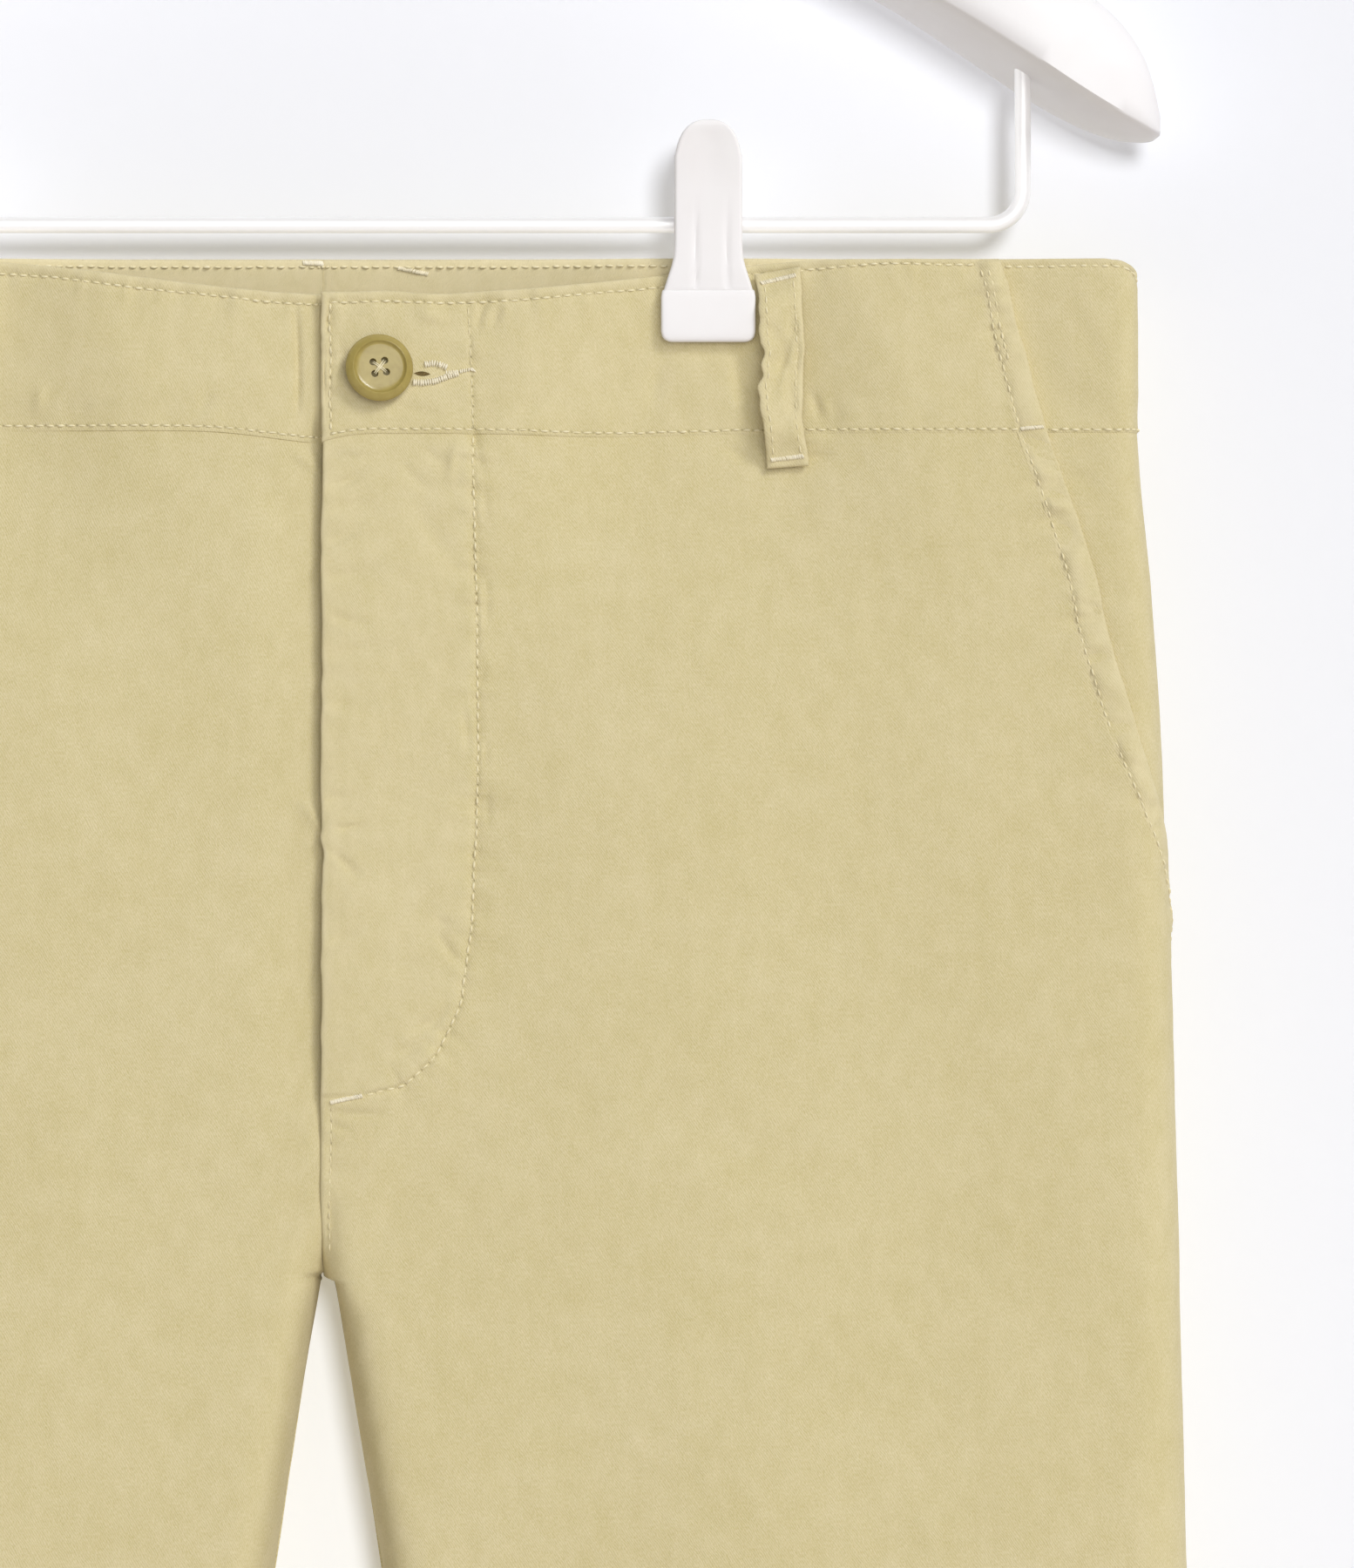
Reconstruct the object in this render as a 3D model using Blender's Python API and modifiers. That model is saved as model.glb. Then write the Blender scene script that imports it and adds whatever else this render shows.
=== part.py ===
"""Chino shorts held by the two clips of a trouser hanger.

Units are metres and +Z is up. The front of the shorts faces -Y. The origin is
the inside top of the hanger's hook, where it sits on a rail. Left and right
are the wearer's, so the left pieces lie at +X.

The shorts hang as a flattened tube. A place on the cloth is given by two
numbers: its depth below the top of the waistband, and its reach, the distance
round the cloth from the side outline. Reach is negative on the front and
positive on the back. body_point() turns them into a point in space, and every
cloth piece is a patch of that surface, moved out or in by its own layer.
"""

import math
from typing import NamedTuple

import bmesh
import bpy
from mathutils import Vector

# ---------------------------------------------------------------- sizes
WAIST_TOP_Z = -0.235  # top edge of the back waistband, below the hook's seat
OUTSEAM = 0.490  # waistband top to hem
BAND_DEPTH = 0.045  # height of the waistband
CROTCH = 0.2665  # depth of the crotch below the waistband top
CROTCH_CURVE = 0.040  # height over which the crotch seam turns under
SEAM = 0.0003  # gap between pieces that meet
SIDE_GAP = 0.0006  # the same where the cloth is curved
CLOTH = 0.0012  # thickness of a cloth panel with its turnings
THIN_CLOTH = 0.0010  # pocket bags, pocket edges and hem turnings
BAND_CLOTH = 0.0017  # thickness of the doubled waistband
BAND_PROUD = 0.0005  # how far the waistband stands out from the panels
LAYER_GAP = 0.0004  # between a panel and the layer right under it

CENTRE_X = 0.0006  # the fly edge laps this far past the middle
FLY_END = 0.219  # depth where the fly's curved stitching ends
FLY_LIFT = 0.0014  # the lapping left front stands this far proud
FLY_SINK = 0.0016  # and the right front lies this far back
FLY_RISE = 0.045  # width over which the left front comes up
UNDERLAP_END = 0.0378  # X of the right waistband's hidden end
ZIP_DEPTHS = (0.0478, 0.205)
ZIP_HALF = 0.0125
ZIP_X = 0.0140

SIDE_SEAM = 0.012  # reach of the side seam, behind the outline
FACING_UNDER = 0.016  # the pocket facing runs this far under the front
POCKET_STRIP = 0.0088  # width of the stitched edge of the pocket
BAG_INNER_X = 0.078
BAG_END = 0.236
BAG_GAP = 0.0009  # from the bag to the front, and to the facing beside it

HEM_DEPTH = 0.028

LOOP_WIDTH = 0.0107
LOOP_CLOTH = 0.0016
LOOP_TOP = 0.0042  # depth of the loop's upper end
LOOP_END = 0.0550  # depth of its lower end
LOOP_SEAT = 0.0008  # between its sewn ends and the waistband
LOOP_STAND = 0.0018  # how much further its middle stands off, with no belt

BUTTON_X = 0.0137
BUTTON_DEPTH = 0.0290
BUTTON_RADIUS = 0.0089
BUTTON_THICK = 0.0032
BUTTON_HOLE = 0.0009
BUTTON_HOLE_RING = 0.0022  # centre of each hole from the button's centre

CLIP_X = 0.1005
PAD_HALF = 0.0122
PAD_END = 0.0217  # depth of the grip pads' lower ends
PINCHED = 0.0016  # half the garment's thickness where a clip holds it
GRIP = PINCHED + BAND_PROUD + SEAM  # inner face of a pad

BAR_RADIUS = 0.00215
BAR_HEIGHT = 0.0092  # of the bar's axis above the waistband
BAR_HALF = 0.1830
BAR_BEND = 0.009
SOCKET_DEPTH = 0.008
SOCKET_CLEAR = 0.0003
SPRING_RADIUS = 0.0041
SPRING_HALF = 0.006

HOOK_WIRE = 0.0020
HOOK_INSIDE = 0.019
HOOK_STEM_TOP = -0.056
HOOK_SOCKET = 0.012

LEFT, RIGHT = 1, -1
FRONT, BACK = -1, 1


class Level(NamedTuple):
    """The body's section at one depth below the waistband top."""

    depth: float
    side: float  # half the width of the outline
    front: float  # how far the front swells forward
    back: float  # how far the back swells backward


LEVELS = (
    Level(0.000, 0.2120, 0.0062, 0.0062),
    Level(0.045, 0.2133, 0.0088, 0.0092),
    Level(0.090, 0.2173, 0.0122, 0.0140),
    Level(0.160, 0.2212, 0.0152, 0.0185),
    Level(0.266, 0.2238, 0.0170, 0.0200),
    Level(0.343, 0.2259, 0.0192, 0.0208),
    Level(0.420, 0.2276, 0.0216, 0.0226),
    Level(0.490, 0.2291, 0.0236, 0.0244),
)


class Edge(NamedTuple):
    """A point of the slanted pocket edge."""

    depth: float
    reach: float


POCKET_EDGE = (
    Edge(0.0000, -0.0388),
    Edge(0.0285, -0.0325),
    Edge(0.0450, -0.0290),
    Edge(0.0714, -0.0235),
    Edge(0.1040, -0.0190),
    Edge(0.1345, -0.0111),
    Edge(0.1570, -0.0010),
    Edge(0.1840, SIDE_SEAM),
)
POCKET_END = POCKET_EDGE[-1].depth


class Fold(NamedTuple):
    """A soft fold that runs down the hanging cloth."""

    x: float
    top: float  # depths between which it runs
    end: float
    width: float
    height: float  # positive swells out, negative sinks in
    lean: float  # sideways shift from its top to its end


FOLDS = {
    FRONT: (
        Fold(0.070, 0.060, 0.300, 0.030, 0.0011, 0.020),
        Fold(0.152, 0.050, 0.330, 0.026, -0.0012, -0.012),
        Fold(0.112, 0.240, 0.500, 0.030, 0.0014, 0.006),
        Fold(0.182, 0.270, 0.500, 0.024, 0.0010, 0.004),
    ),
    BACK: (
        Fold(0.060, 0.055, 0.250, 0.028, -0.0016, 0.022),
        Fold(0.125, 0.050, 0.260, 0.032, 0.0018, 0.014),
        Fold(0.085, 0.230, 0.500, 0.034, 0.0020, 0.010),
        Fold(0.150, 0.220, 0.500, 0.030, -0.0018, 0.010),
    ),
}


class ArmSection(NamedTuple):
    """The hanger arm's section at one distance from its middle."""

    x: float
    underside: float  # height of the underside's middle above the waistband
    tilt: float  # how much the underside's front edge lies above its back one
    half_depth: float
    height: float


ARM = (
    ArmSection(0.0000, 0.1280, 0.0030, 0.0085, 0.0300),
    ArmSection(0.0120, 0.1272, 0.0030, 0.0085, 0.0285),
    ArmSection(0.0300, 0.1225, 0.0032, 0.0085, 0.0240),
    ArmSection(0.0600, 0.1110, 0.0042, 0.0100, 0.0245),
    ArmSection(0.1000, 0.0940, 0.0060, 0.0140, 0.0280),
    ArmSection(0.1460, 0.0717, 0.0084, 0.0195, 0.0315),
    ArmSection(0.1650, 0.0605, 0.0106, 0.0218, 0.0325),
    ArmSection(0.1840, 0.0483, 0.0117, 0.0225, 0.0325),
    ArmSection(0.1980, 0.0398, 0.0102, 0.0200, 0.0310),
    ArmSection(0.2080, 0.0350, 0.0078, 0.0155, 0.0275),
    ArmSection(0.2145, 0.0330, 0.0048, 0.0105, 0.0205),
    ArmSection(0.2175, 0.0324, 0.0024, 0.0065, 0.0125),
    ArmSection(0.2190, 0.0330, 0.0008, 0.0025, 0.0050),
)
DOME_STEPS = 8
DOME_FULLNESS = 0.75  # under 1, a fuller dome than an ellipse


class JawSection(NamedTuple):
    """A clip jaw's section at one height above the waistband."""

    height: float
    half: float
    inside: float  # the inner face's distance from the hanging plane
    thick: float


JAW = (
    JawSection(0.0361, 0.0030, 0.0100, 0.0018),
    JawSection(0.0350, 0.0061, 0.0097, 0.0022),
    JawSection(0.0327, 0.0081, 0.0091, 0.0024),
    JawSection(0.0285, 0.0089, 0.0080, 0.0024),
    JawSection(0.0180, 0.0089, 0.0056, 0.0024),
    JawSection(BAR_HEIGHT, 0.0089, SPRING_RADIUS + SEAM, 0.0026),
    JawSection(-0.0010, 0.0089, 0.0038, 0.0026),
    JawSection(-0.0080, 0.0103, 0.0030, 0.0026),
    JawSection(-0.0083, 0.0119, GRIP, 0.0030),
    JawSection(-0.0094, PAD_HALF, GRIP, 0.0034),
    JawSection(-PAD_END + 0.0014, PAD_HALF, GRIP, 0.0034),
    JawSection(-PAD_END, 0.0112, GRIP, 0.0028),
)


class Loop(NamedTuple):
    """A belt loop's place."""

    name: str
    side: int
    face: int
    x: float
    lean: float  # how far the lower end lies outside the upper one


LOOPS = (
    Loop("belt_loop_front_left", LEFT, FRONT, 0.1186, 0.0027),
    Loop("belt_loop_front_right", RIGHT, FRONT, 0.1186, 0.0027),
    Loop("belt_loop_back_left", LEFT, BACK, 0.1190, 0.0),
    Loop("belt_loop_back_right", RIGHT, BACK, 0.1190, 0.0),
    Loop("belt_loop_centre_back", LEFT, BACK, 0.0, 0.0),
)


class Finish(NamedTuple):
    """A material's colour in linear light, roughness and metalness."""

    colour: tuple
    roughness: float
    metallic: float


TWILL = Finish((0.678, 0.578, 0.318), 0.90, 0.0)
ZIP_TAPE = Finish((0.600, 0.505, 0.262), 0.85, 0.0)
POCKETING = Finish((0.730, 0.690, 0.560), 0.90, 0.0)
HORN = Finish((0.520, 0.430, 0.180), 0.25, 0.0)
WHITE_PLASTIC = Finish((0.900, 0.895, 0.890), 0.40, 0.0)
WHITE_WIRE = Finish((0.900, 0.895, 0.890), 0.30, 0.0)
STEEL = Finish((0.780, 0.785, 0.790), 0.20, 1.0)

# Where the rows and columns of the cloth's grids lie.
CURVE_ANGLES = (90, 66, 44, 22, 0)
PANEL_DEPTHS = (
    [BAND_DEPTH + SEAM, 0.062, 0.088, 0.112, 0.134, 0.150, 0.161, 0.172, POCKET_END, 0.205]
    + [CROTCH - CROTCH_CURVE * (1 - math.cos(math.radians(a))) for a in CURVE_ANGLES]
    + [CROTCH + 0.0025, 0.282, 0.310, 0.350, 0.400, 0.445, OUTSEAM]
)
BAND_ROWS = (0.0, 0.13, 0.33, 0.55, 0.78, 1.0)
CENTRE_TURNS = (80, 62, 42, 21)
FRONT_STEPS = (0.0, 0.10, 0.22, 0.34, 0.46, 0.575, 0.69, 0.815, 0.91, 1.0)
BACK_STEPS = (0.0, 0.13, 0.25, 0.37, 0.46, 0.55, 0.66, 0.78, 0.89, 1.0)
FRONT_KNEE = 0.040  # reach from the front's outer edge that turns the outline
BACK_KNEE = 0.024


# ------------------------------------------------------- small functions
def ease(t):
    """0 below 0, 1 above 1, and a smooth rise between."""
    t = min(1.0, max(0.0, t))
    return t * t * (3 - 2 * t)


def mix(a, b, t):
    """The value a share t of the way from a to b."""
    return a + (b - a) * t


def spread(a, b, count):
    """count + 1 even values from a to b."""
    return [mix(a, b, i / count) for i in range(count + 1)]


def read(table, key, at, column):
    """A table's column at one value of its key, on a smooth curve."""
    keys = [getattr(row, key) for row in table]
    values = [getattr(row, column) for row in table]
    if at <= keys[0]:
        return values[0]
    if at >= keys[-1]:
        return values[-1]
    i = max(n for n in range(len(keys) - 1) if keys[n] <= at)

    def slope(n):
        low, high = max(n - 1, 0), min(n + 1, len(keys) - 1)
        return (values[high] - values[low]) / (keys[high] - keys[low])

    span = keys[i + 1] - keys[i]
    t = (at - keys[i]) / span
    return (
        (2 * t**3 - 3 * t**2 + 1) * values[i]
        + (t**3 - 2 * t**2 + t) * span * slope(i)
        + (3 * t**2 - 2 * t**3) * values[i + 1]
        + (t**3 - t**2) * span * slope(i + 1)
    )


# ------------------------------------------------------- the body surface
def thickness(face, depth):
    """How far the front or back swells at one depth."""
    return read(LEVELS, "depth", depth, "front" if face == FRONT else "back")


def inner_x(side, depth):
    """X, counted outwards, of the centre front or of the leg's inner edge."""
    centre = -CENTRE_X if side == LEFT else CENTRE_X + SEAM
    below = max(0.0, depth - CROTCH)
    parted = 0.0012 + side * 0.0006 + 0.172 * below - 0.10 * below**2
    return mix(centre, parted, ease(below / 0.0025))


def fold_height(face, x, depth):
    """The sum of the soft folds at one place."""
    total = 0.0
    for fold in FOLDS[face]:
        t = (depth - fold.top) / (fold.end - fold.top)
        fades = 1 if fold.end > OUTSEAM else ease((1 - t) / 0.45)
        across = (x - fold.x - fold.lean * t) / fold.width
        total += fold.height * ease(t / 0.35) * fades * math.exp(-across * across)
    return total


def pinch(x, depth):
    """1 where a clip holds the cloth, fading to 0 around and below it."""
    away = abs(x - CLIP_X) - PAD_HALF - 0.001
    beside = 1 - ease(away / (0.030 + 0.35 * depth))
    return beside * (1 - ease((depth - PAD_END - 0.002) / 0.090))


def swell(face, side, x, depth):
    """How far the cloth stands from the hanging plane."""
    base = thickness(face, depth) + fold_height(face, x, depth)
    # The sides hang a little flatter than the middle.
    base *= mix(1.0, 0.88, ease((x - 0.09) / 0.12))
    base = mix(base, PINCHED, pinch(x, depth))
    if face == BACK:
        return base
    # The fly edge laps over: it lifts the left front and sinks the right.
    fly = 1 - ease((depth - FLY_END + 0.012) / 0.030)
    if side == LEFT:
        return base + mix(0.0002, FLY_LIFT, fly) * (1 - ease(x / FLY_RISE))
    return base - mix(0.0002, FLY_SINK, fly) * (1 - ease((x - 0.001) / 0.020))


class Section(NamedTuple):
    """Half a section at one depth, on the front or the back."""

    side: float
    inner: float
    fold: float  # radius across of the fold at the outline
    quarter: float  # cloth in that fold's quarter turn
    inner_fold: float
    inner_quarter: float
    total: float  # all the cloth from the outline to the centre


def section(face, side, depth):
    """The half section at one depth."""
    thick = thickness(face, depth)
    outline = read(LEVELS, "depth", depth, "side")
    inner = inner_x(side, depth)
    fold, inner_fold = 1.15 * thick, 0.9 * thick
    quarter = math.pi / 2 * math.hypot(fold, thick) / math.sqrt(2)
    inner_quarter = math.pi / 2 * math.hypot(inner_fold, thick) / math.sqrt(2)
    total = quarter + (outline - fold - inner - inner_fold) + inner_quarter
    return Section(outline, inner, fold, quarter, inner_fold, inner_quarter, total)


def front_reach(side, x, depth):
    """The reach of the front's place at this X."""
    s = section(FRONT, side, depth)
    if x > s.side - s.fold:
        turn = math.acos(1 - (s.side - x) / s.fold)
        return -s.quarter * turn / (math.pi / 2)
    if x > s.inner + s.inner_fold:
        return -(s.quarter + s.side - s.fold - x)
    turn = math.asin(min(1.0, 1 - (x - s.inner) / s.inner_fold))
    return -(s.total - s.inner_quarter + s.inner_quarter * turn / (math.pi / 2))


def body_point(side, reach, depth):
    """The point of the body's surface at this reach and depth."""
    face = FRONT if reach < 0 else BACK
    s = section(face, side, depth)
    far = abs(reach)
    closed = 1.0
    if far < s.quarter:
        turn = far / s.quarter * math.pi / 2
        x = s.side - s.fold * (1 - math.cos(turn))
        closed = math.sin(turn)
    elif far < s.total - s.inner_quarter:
        x = s.side - s.fold - (far - s.quarter)
    else:
        # Near the middle, a leg rounds inwards and the crotch turns under.
        turn = (far - s.total + s.inner_quarter) / s.inner_quarter * math.pi / 2
        x = s.inner + s.inner_fold * (1 - math.sin(turn))
        above = min(1.0, max(0.0, (CROTCH - depth) / CROTCH_CURVE))
        closed = math.sqrt(1 - (math.sin(turn) * (1 - above)) ** 2)
    y = face * swell(face, side, x, depth) * closed
    return Vector((side * x, y, WAIST_TOP_Z - depth))


def layer_point(side, reach, depth, out):
    """body_point moved out along the surface's normal."""
    step = 0.0005
    total = section(FRONT if reach < 0 else BACK, side, depth).total
    before = body_point(side, max(reach - step, -total), depth)
    after = body_point(side, min(reach + step, total), depth)
    above = body_point(side, reach, depth - step)
    below = body_point(side, reach, depth + step)
    normal = (below - above).cross(after - before) * side
    return body_point(side, reach, depth) + normal.normalized() * out


# ------------------------------------------------------- edges and seams
def front_edge(side, x):
    """Depth of the front waistband's top edge: it dips between the clips."""
    if side == LEFT:
        return 0.0088 * (1 - ease((x - 0.030) / 0.120))
    return 0.0095 * (1 - ease((x + 0.010) / 0.120))


def side_drop(side, reach):
    """How far the waistband's top falls away as it turns over the outline."""
    near = max(0.0, 1 - abs(reach) / (1.15 * section(FRONT, side, 0.0).quarter))
    return SEAM + 0.0062 * near * near


def band_seam(side, face, x):
    """Depth of the seam under the waistband, with its slight wave."""
    if face == BACK:
        return BAND_DEPTH
    if side == LEFT:
        dip = 0.0020 * max(0.0, 1 - x / 0.014) ** 2
        return BAND_DEPTH + dip + 0.0009 * math.exp(-(((x - 0.075) / 0.022) ** 2))
    level_out = 1 - ease((x - 0.12) / 0.06)
    return BAND_DEPTH - 0.0010 * level_out + 0.0032 * math.exp(-((x / 0.020) ** 2))


def below_band(side, reach, depth):
    """A row's depth, shifted near the top to follow the waistband's seam."""
    x = abs(body_point(side, reach, BAND_DEPTH).x)
    shift = band_seam(side, FRONT if reach < 0 else BACK, x) - BAND_DEPTH
    return depth + shift * (1 - ease((depth - BAND_DEPTH) / 0.035))


def pocket_reach(depth):
    """Reach of the slanted pocket edge."""
    return read(POCKET_EDGE, "depth", depth, "reach")


def centre_reaches(face, side, depth):
    """Reaches from the centre edge to the start of the flat, unsigned."""
    s = section(face, side, depth)
    first = math.acos(SEAM / thickness(face, depth))
    turns = [first] + [math.radians(turn) for turn in CENTRE_TURNS]
    flat = s.total - s.inner_quarter
    return [flat + s.inner_quarter * turn / (math.pi / 2) for turn in turns] + [flat]


def front_columns(side, depth):
    """Reaches across a front panel: from the centre to its outer edge."""
    edge = pocket_reach(depth)
    centre = [-reach for reach in centre_reaches(FRONT, side, depth)]
    knee = edge - FRONT_KNEE
    flat = [mix(centre[-1], knee, step) for step in FRONT_STEPS[1:]]
    return centre + flat + spread(knee, edge, 6)[1:]


def back_columns(side, depth):
    """Reaches across a back panel: from the side seam to the centre."""
    start = SIDE_SEAM + SIDE_GAP
    knee = start + BACK_KNEE
    centre = centre_reaches(BACK, side, depth)[::-1]
    flat = [mix(knee, centre[0], step) for step in BACK_STEPS[1:]]
    return spread(start, knee, 4) + flat + centre[1:]


# ------------------------------------------------------- mesh building
def finish(obj, look, smooth_angle=35):
    """Links an object into the part's collection with its material."""
    material = bpy.data.materials.new(obj.name)
    material.use_nodes = True
    surface = material.node_tree.nodes["Principled BSDF"]
    surface.inputs["Base Color"].default_value = (*look.colour, 1)
    surface.inputs["Roughness"].default_value = look.roughness
    surface.inputs["Metallic"].default_value = look.metallic
    obj.data.materials.append(material)
    obj.data.shade_smooth()
    obj.data.set_sharp_from_angle(angle=math.radians(smooth_angle))
    part.objects.link(obj)
    return obj


def mesh_object(name, bm):
    """An object holding a finished bmesh."""
    mesh = bpy.data.meshes.new(name)
    bm.to_mesh(mesh)
    bm.free()
    return bpy.data.objects.new(name, mesh)


def sheet(name, rows, thick, look):
    """A wall of cloth: rows of points on its outer face, thickened inwards.

    Each row runs the way the reach grows, and the rows run downwards.
    """
    bm = bmesh.new()
    across, down = len(rows[0]) - 1, len(rows) - 1
    bmesh.ops.create_grid(bm, x_segments=across, y_segments=down, size=1)
    bm.verts.ensure_lookup_table()
    for vert, point in zip(bm.verts, (point for row in rows for point in row)):
        vert.co = point
    # Sheared quads follow the curved body best along their shorter diagonal.
    bmesh.ops.triangulate(bm, faces=bm.faces, quad_method="SHORT_EDGE")
    obj = finish(mesh_object(name, bm), look)
    wall = obj.modifiers.new("Wall", "SOLIDIFY")
    wall.thickness = thick
    wall.offset = -1
    return obj


def cloth(name, side, rows, thick, look):
    """A sheet on the left or right side, with its faces pointing out."""
    return sheet(name, rows if side == RIGHT else [row[::-1] for row in rows], thick, look)


def loft(name, rings, look, closed=False):
    """A solid through rings of points. Its ends are capped, or joined."""
    bm = bmesh.new()
    made = [[bm.verts.new(point) for point in ring] for ring in rings]
    pairs = list(zip(made, made[1:]))
    if closed:
        pairs.append((made[-1], made[0]))
    for low, high in pairs:
        for i, vert in enumerate(low):
            k = (i + 1) % len(low)
            bm.faces.new((vert, low[k], high[k], high[i]))
    if not closed:
        bm.faces.new(reversed(made[0]))
        bm.faces.new(made[-1])
    bmesh.ops.recalc_face_normals(bm, faces=bm.faces)
    return finish(mesh_object(name, bm), look)


def wire(name, points, radius, look):
    """A round wire along points, as a closed mesh."""
    data = bpy.data.curves.new(name, "CURVE")
    data.dimensions = "3D"
    data.bevel_depth = radius
    data.bevel_resolution = 2
    data.use_fill_caps = True
    spline = data.splines.new("POLY")
    spline.points.add(len(points) - 1)
    for place, point in zip(spline.points, points):
        place.co = (*point, 1)
    guide = bpy.data.objects.new(name + "_line", data)
    bpy.context.scene.collection.objects.link(guide)
    bpy.context.view_layer.update()
    graph = bpy.context.evaluated_depsgraph_get()
    bm = bmesh.new()
    bm.from_mesh(bpy.data.meshes.new_from_object(guide.evaluated_get(graph)))
    bmesh.ops.remove_doubles(bm, verts=bm.verts, dist=0.00001)
    bpy.data.objects.remove(guide)
    return finish(mesh_object(name, bm), look)


def cylinder(name, radius, length, centre, axis, steps=16):
    """A plain cylinder mesh object, its axis along a vector."""
    bm = bmesh.new()
    bmesh.ops.create_cone(
        bm, cap_ends=True, segments=steps, radius1=radius, radius2=radius, depth=length
    )
    bm.transform(Vector(axis).to_track_quat("Z", "Y").to_matrix().to_4x4())
    obj = mesh_object(name, bm)
    obj.location = centre
    return obj


def cut(obj, cutter):
    """Cuts one object out of another and keeps the cutter as a helper."""
    cutter.hide_render = True
    cutter.display_type = "WIRE"
    cutters.objects.link(cutter)
    boolean = obj.modifiers.new("Cut", "BOOLEAN")
    boolean.operation = "DIFFERENCE"
    boolean.object = cutter


# ------------------------------------------------------- cloth pieces
def panel(name, side, columns):
    """A front or back panel, on the columns that its face has."""
    rows = [
        [body_point(side, reach, below_band(side, reach, depth)) for reach in columns(side, depth)]
        for depth in PANEL_DEPTHS
    ]
    cloth(name, side, rows, CLOTH, TWILL)


def pocket_facing(name, side):
    """The side piece that shows behind the slanted pocket edge."""
    rows = []
    for depth in [d for d in PANEL_DEPTHS if d < POCKET_END] + [0.178]:
        edge = pocket_reach(depth)
        reaches = spread(edge - FACING_UNDER, edge, 3) + spread(edge, SIDE_SEAM, 6)[1:]
        row = []
        for reach in reaches:
            risen = ease((reach - edge) / (SIDE_SEAM - edge))
            out = -(CLOTH + LAYER_GAP) * (1 - risen)
            row.append(layer_point(side, reach, below_band(side, reach, depth), out))
        rows.append(row)
    cloth(name, side, rows, CLOTH, TWILL)


def pocket_strip(name, side):
    """The stitched double edge of the pocket, from the waistband's top down."""
    rows = []
    lower = [d for d in PANEL_DEPTHS if BAND_DEPTH + 0.005 < d < POCKET_END]
    for depth in [0.0008, 0.015, 0.030, BAND_DEPTH + 0.0008, BAND_DEPTH + 0.0035] + lower:
        edge = pocket_reach(depth)
        on_band = 1 - ease((depth - BAND_DEPTH - 0.0010) / 0.0020)
        out = THIN_CLOTH + LAYER_GAP + BAND_PROUD * on_band
        width = mix(POCKET_STRIP, 0.7 * POCKET_STRIP, on_band)
        rows.append([layer_point(side, reach, depth, out)
                     for reach in spread(edge - width, edge, 2)])
    cloth(name, side, rows, THIN_CLOTH, TWILL)


def pocket_bag(name, side):
    """A flat bag inside the front, next to the pocket facing."""
    rows = []
    for depth in spread(0.050, 0.170, 5) + [0.195, 0.218, BAG_END - 0.004]:
        outer = pocket_reach(min(depth, 0.150)) - FACING_UNDER - BAG_GAP
        inner = front_reach(side, BAG_INNER_X, depth)
        rounded = math.sqrt(1 - max(0.0, (depth - 0.180) / (BAG_END - 0.180)) ** 2)
        middle, half = (outer + inner) / 2, (outer - inner) / 2 * rounded
        rows.append([layer_point(side, reach, depth, -CLOTH - BAG_GAP)
                     for reach in spread(middle - half, middle + half, 5)])
    cloth(name, side, rows, THIN_CLOTH, POCKETING)


def zip_strip():
    """The closed zip, on its tape behind the lapping left front."""
    rows = [
        [layer_point(LEFT, front_reach(LEFT, x, depth), depth, -CLOTH - 0.0008)
         for x in spread(ZIP_X - ZIP_HALF, ZIP_X + ZIP_HALF, 3)]
        for depth in spread(*ZIP_DEPTHS, 8)
    ]
    cloth("zip", LEFT, rows, THIN_CLOTH, ZIP_TAPE)


def band_rows(side, columns, top, out):
    """Rows of a waistband piece, between its top edge and the seam under it."""
    rows = []
    for share in BAND_ROWS:
        row = []
        for i, reach in enumerate(columns(side, BAND_DEPTH)):
            face = FRONT if reach < 0 else BACK
            x = abs(body_point(side, reach, BAND_DEPTH).x)
            depth = mix(top(reach, x), band_seam(side, face, x), share)
            here = columns(side, depth)[i]
            row.append(layer_point(side, here, depth, out(here, depth)))
        rows.append(row)
    return rows


def front_band_rows(side):
    """Rows of half the front waistband, from the centre to the pocket edge."""
    return band_rows(
        side, front_columns, lambda reach, x: front_edge(side, x), lambda reach, depth: BAND_PROUD
    )


def left_front_band():
    """The half with the buttonhole, which laps over at the centre."""
    cloth("waistband_front_left", LEFT, front_band_rows(LEFT), BAND_CLOTH, TWILL)


def right_front_band():
    """The half that runs on under the left one, where the button is sewn."""
    out = BAND_PROUD - FLY_LIFT - FLY_SINK
    rows = front_band_rows(RIGHT)
    for row, share in zip(rows, BAND_ROWS):
        depth = mix(front_edge(RIGHT, 0.0), band_seam(RIGHT, FRONT, 0.0), share)
        row[:0] = [layer_point(LEFT, front_reach(LEFT, x, depth), depth, out)
                   for x in (UNDERLAP_END, 0.028, 0.018, 0.008, 0.0010)]
    cloth("waistband_front_right", RIGHT, rows, BAND_CLOTH, TWILL)


def back_band(name, side):
    """The waistband behind the pocket edge, round the side to the back."""

    def columns(side, depth):
        edge = pocket_reach(depth)
        start = [edge - 0.009, edge, edge + 0.007]
        turning = spread(edge + 0.0145, SIDE_SEAM, 7)
        return start + turning + back_columns(side, depth)[1:]

    def out(reach, depth):
        under = BAND_PROUD - BAND_CLOTH - LAYER_GAP
        return mix(under, BAND_PROUD, ease((reach - pocket_reach(depth)) / 0.022))

    rows = band_rows(side, columns, lambda reach, x: side_drop(side, reach), out)
    cloth(name, side, rows, BAND_CLOTH, TWILL)


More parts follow.
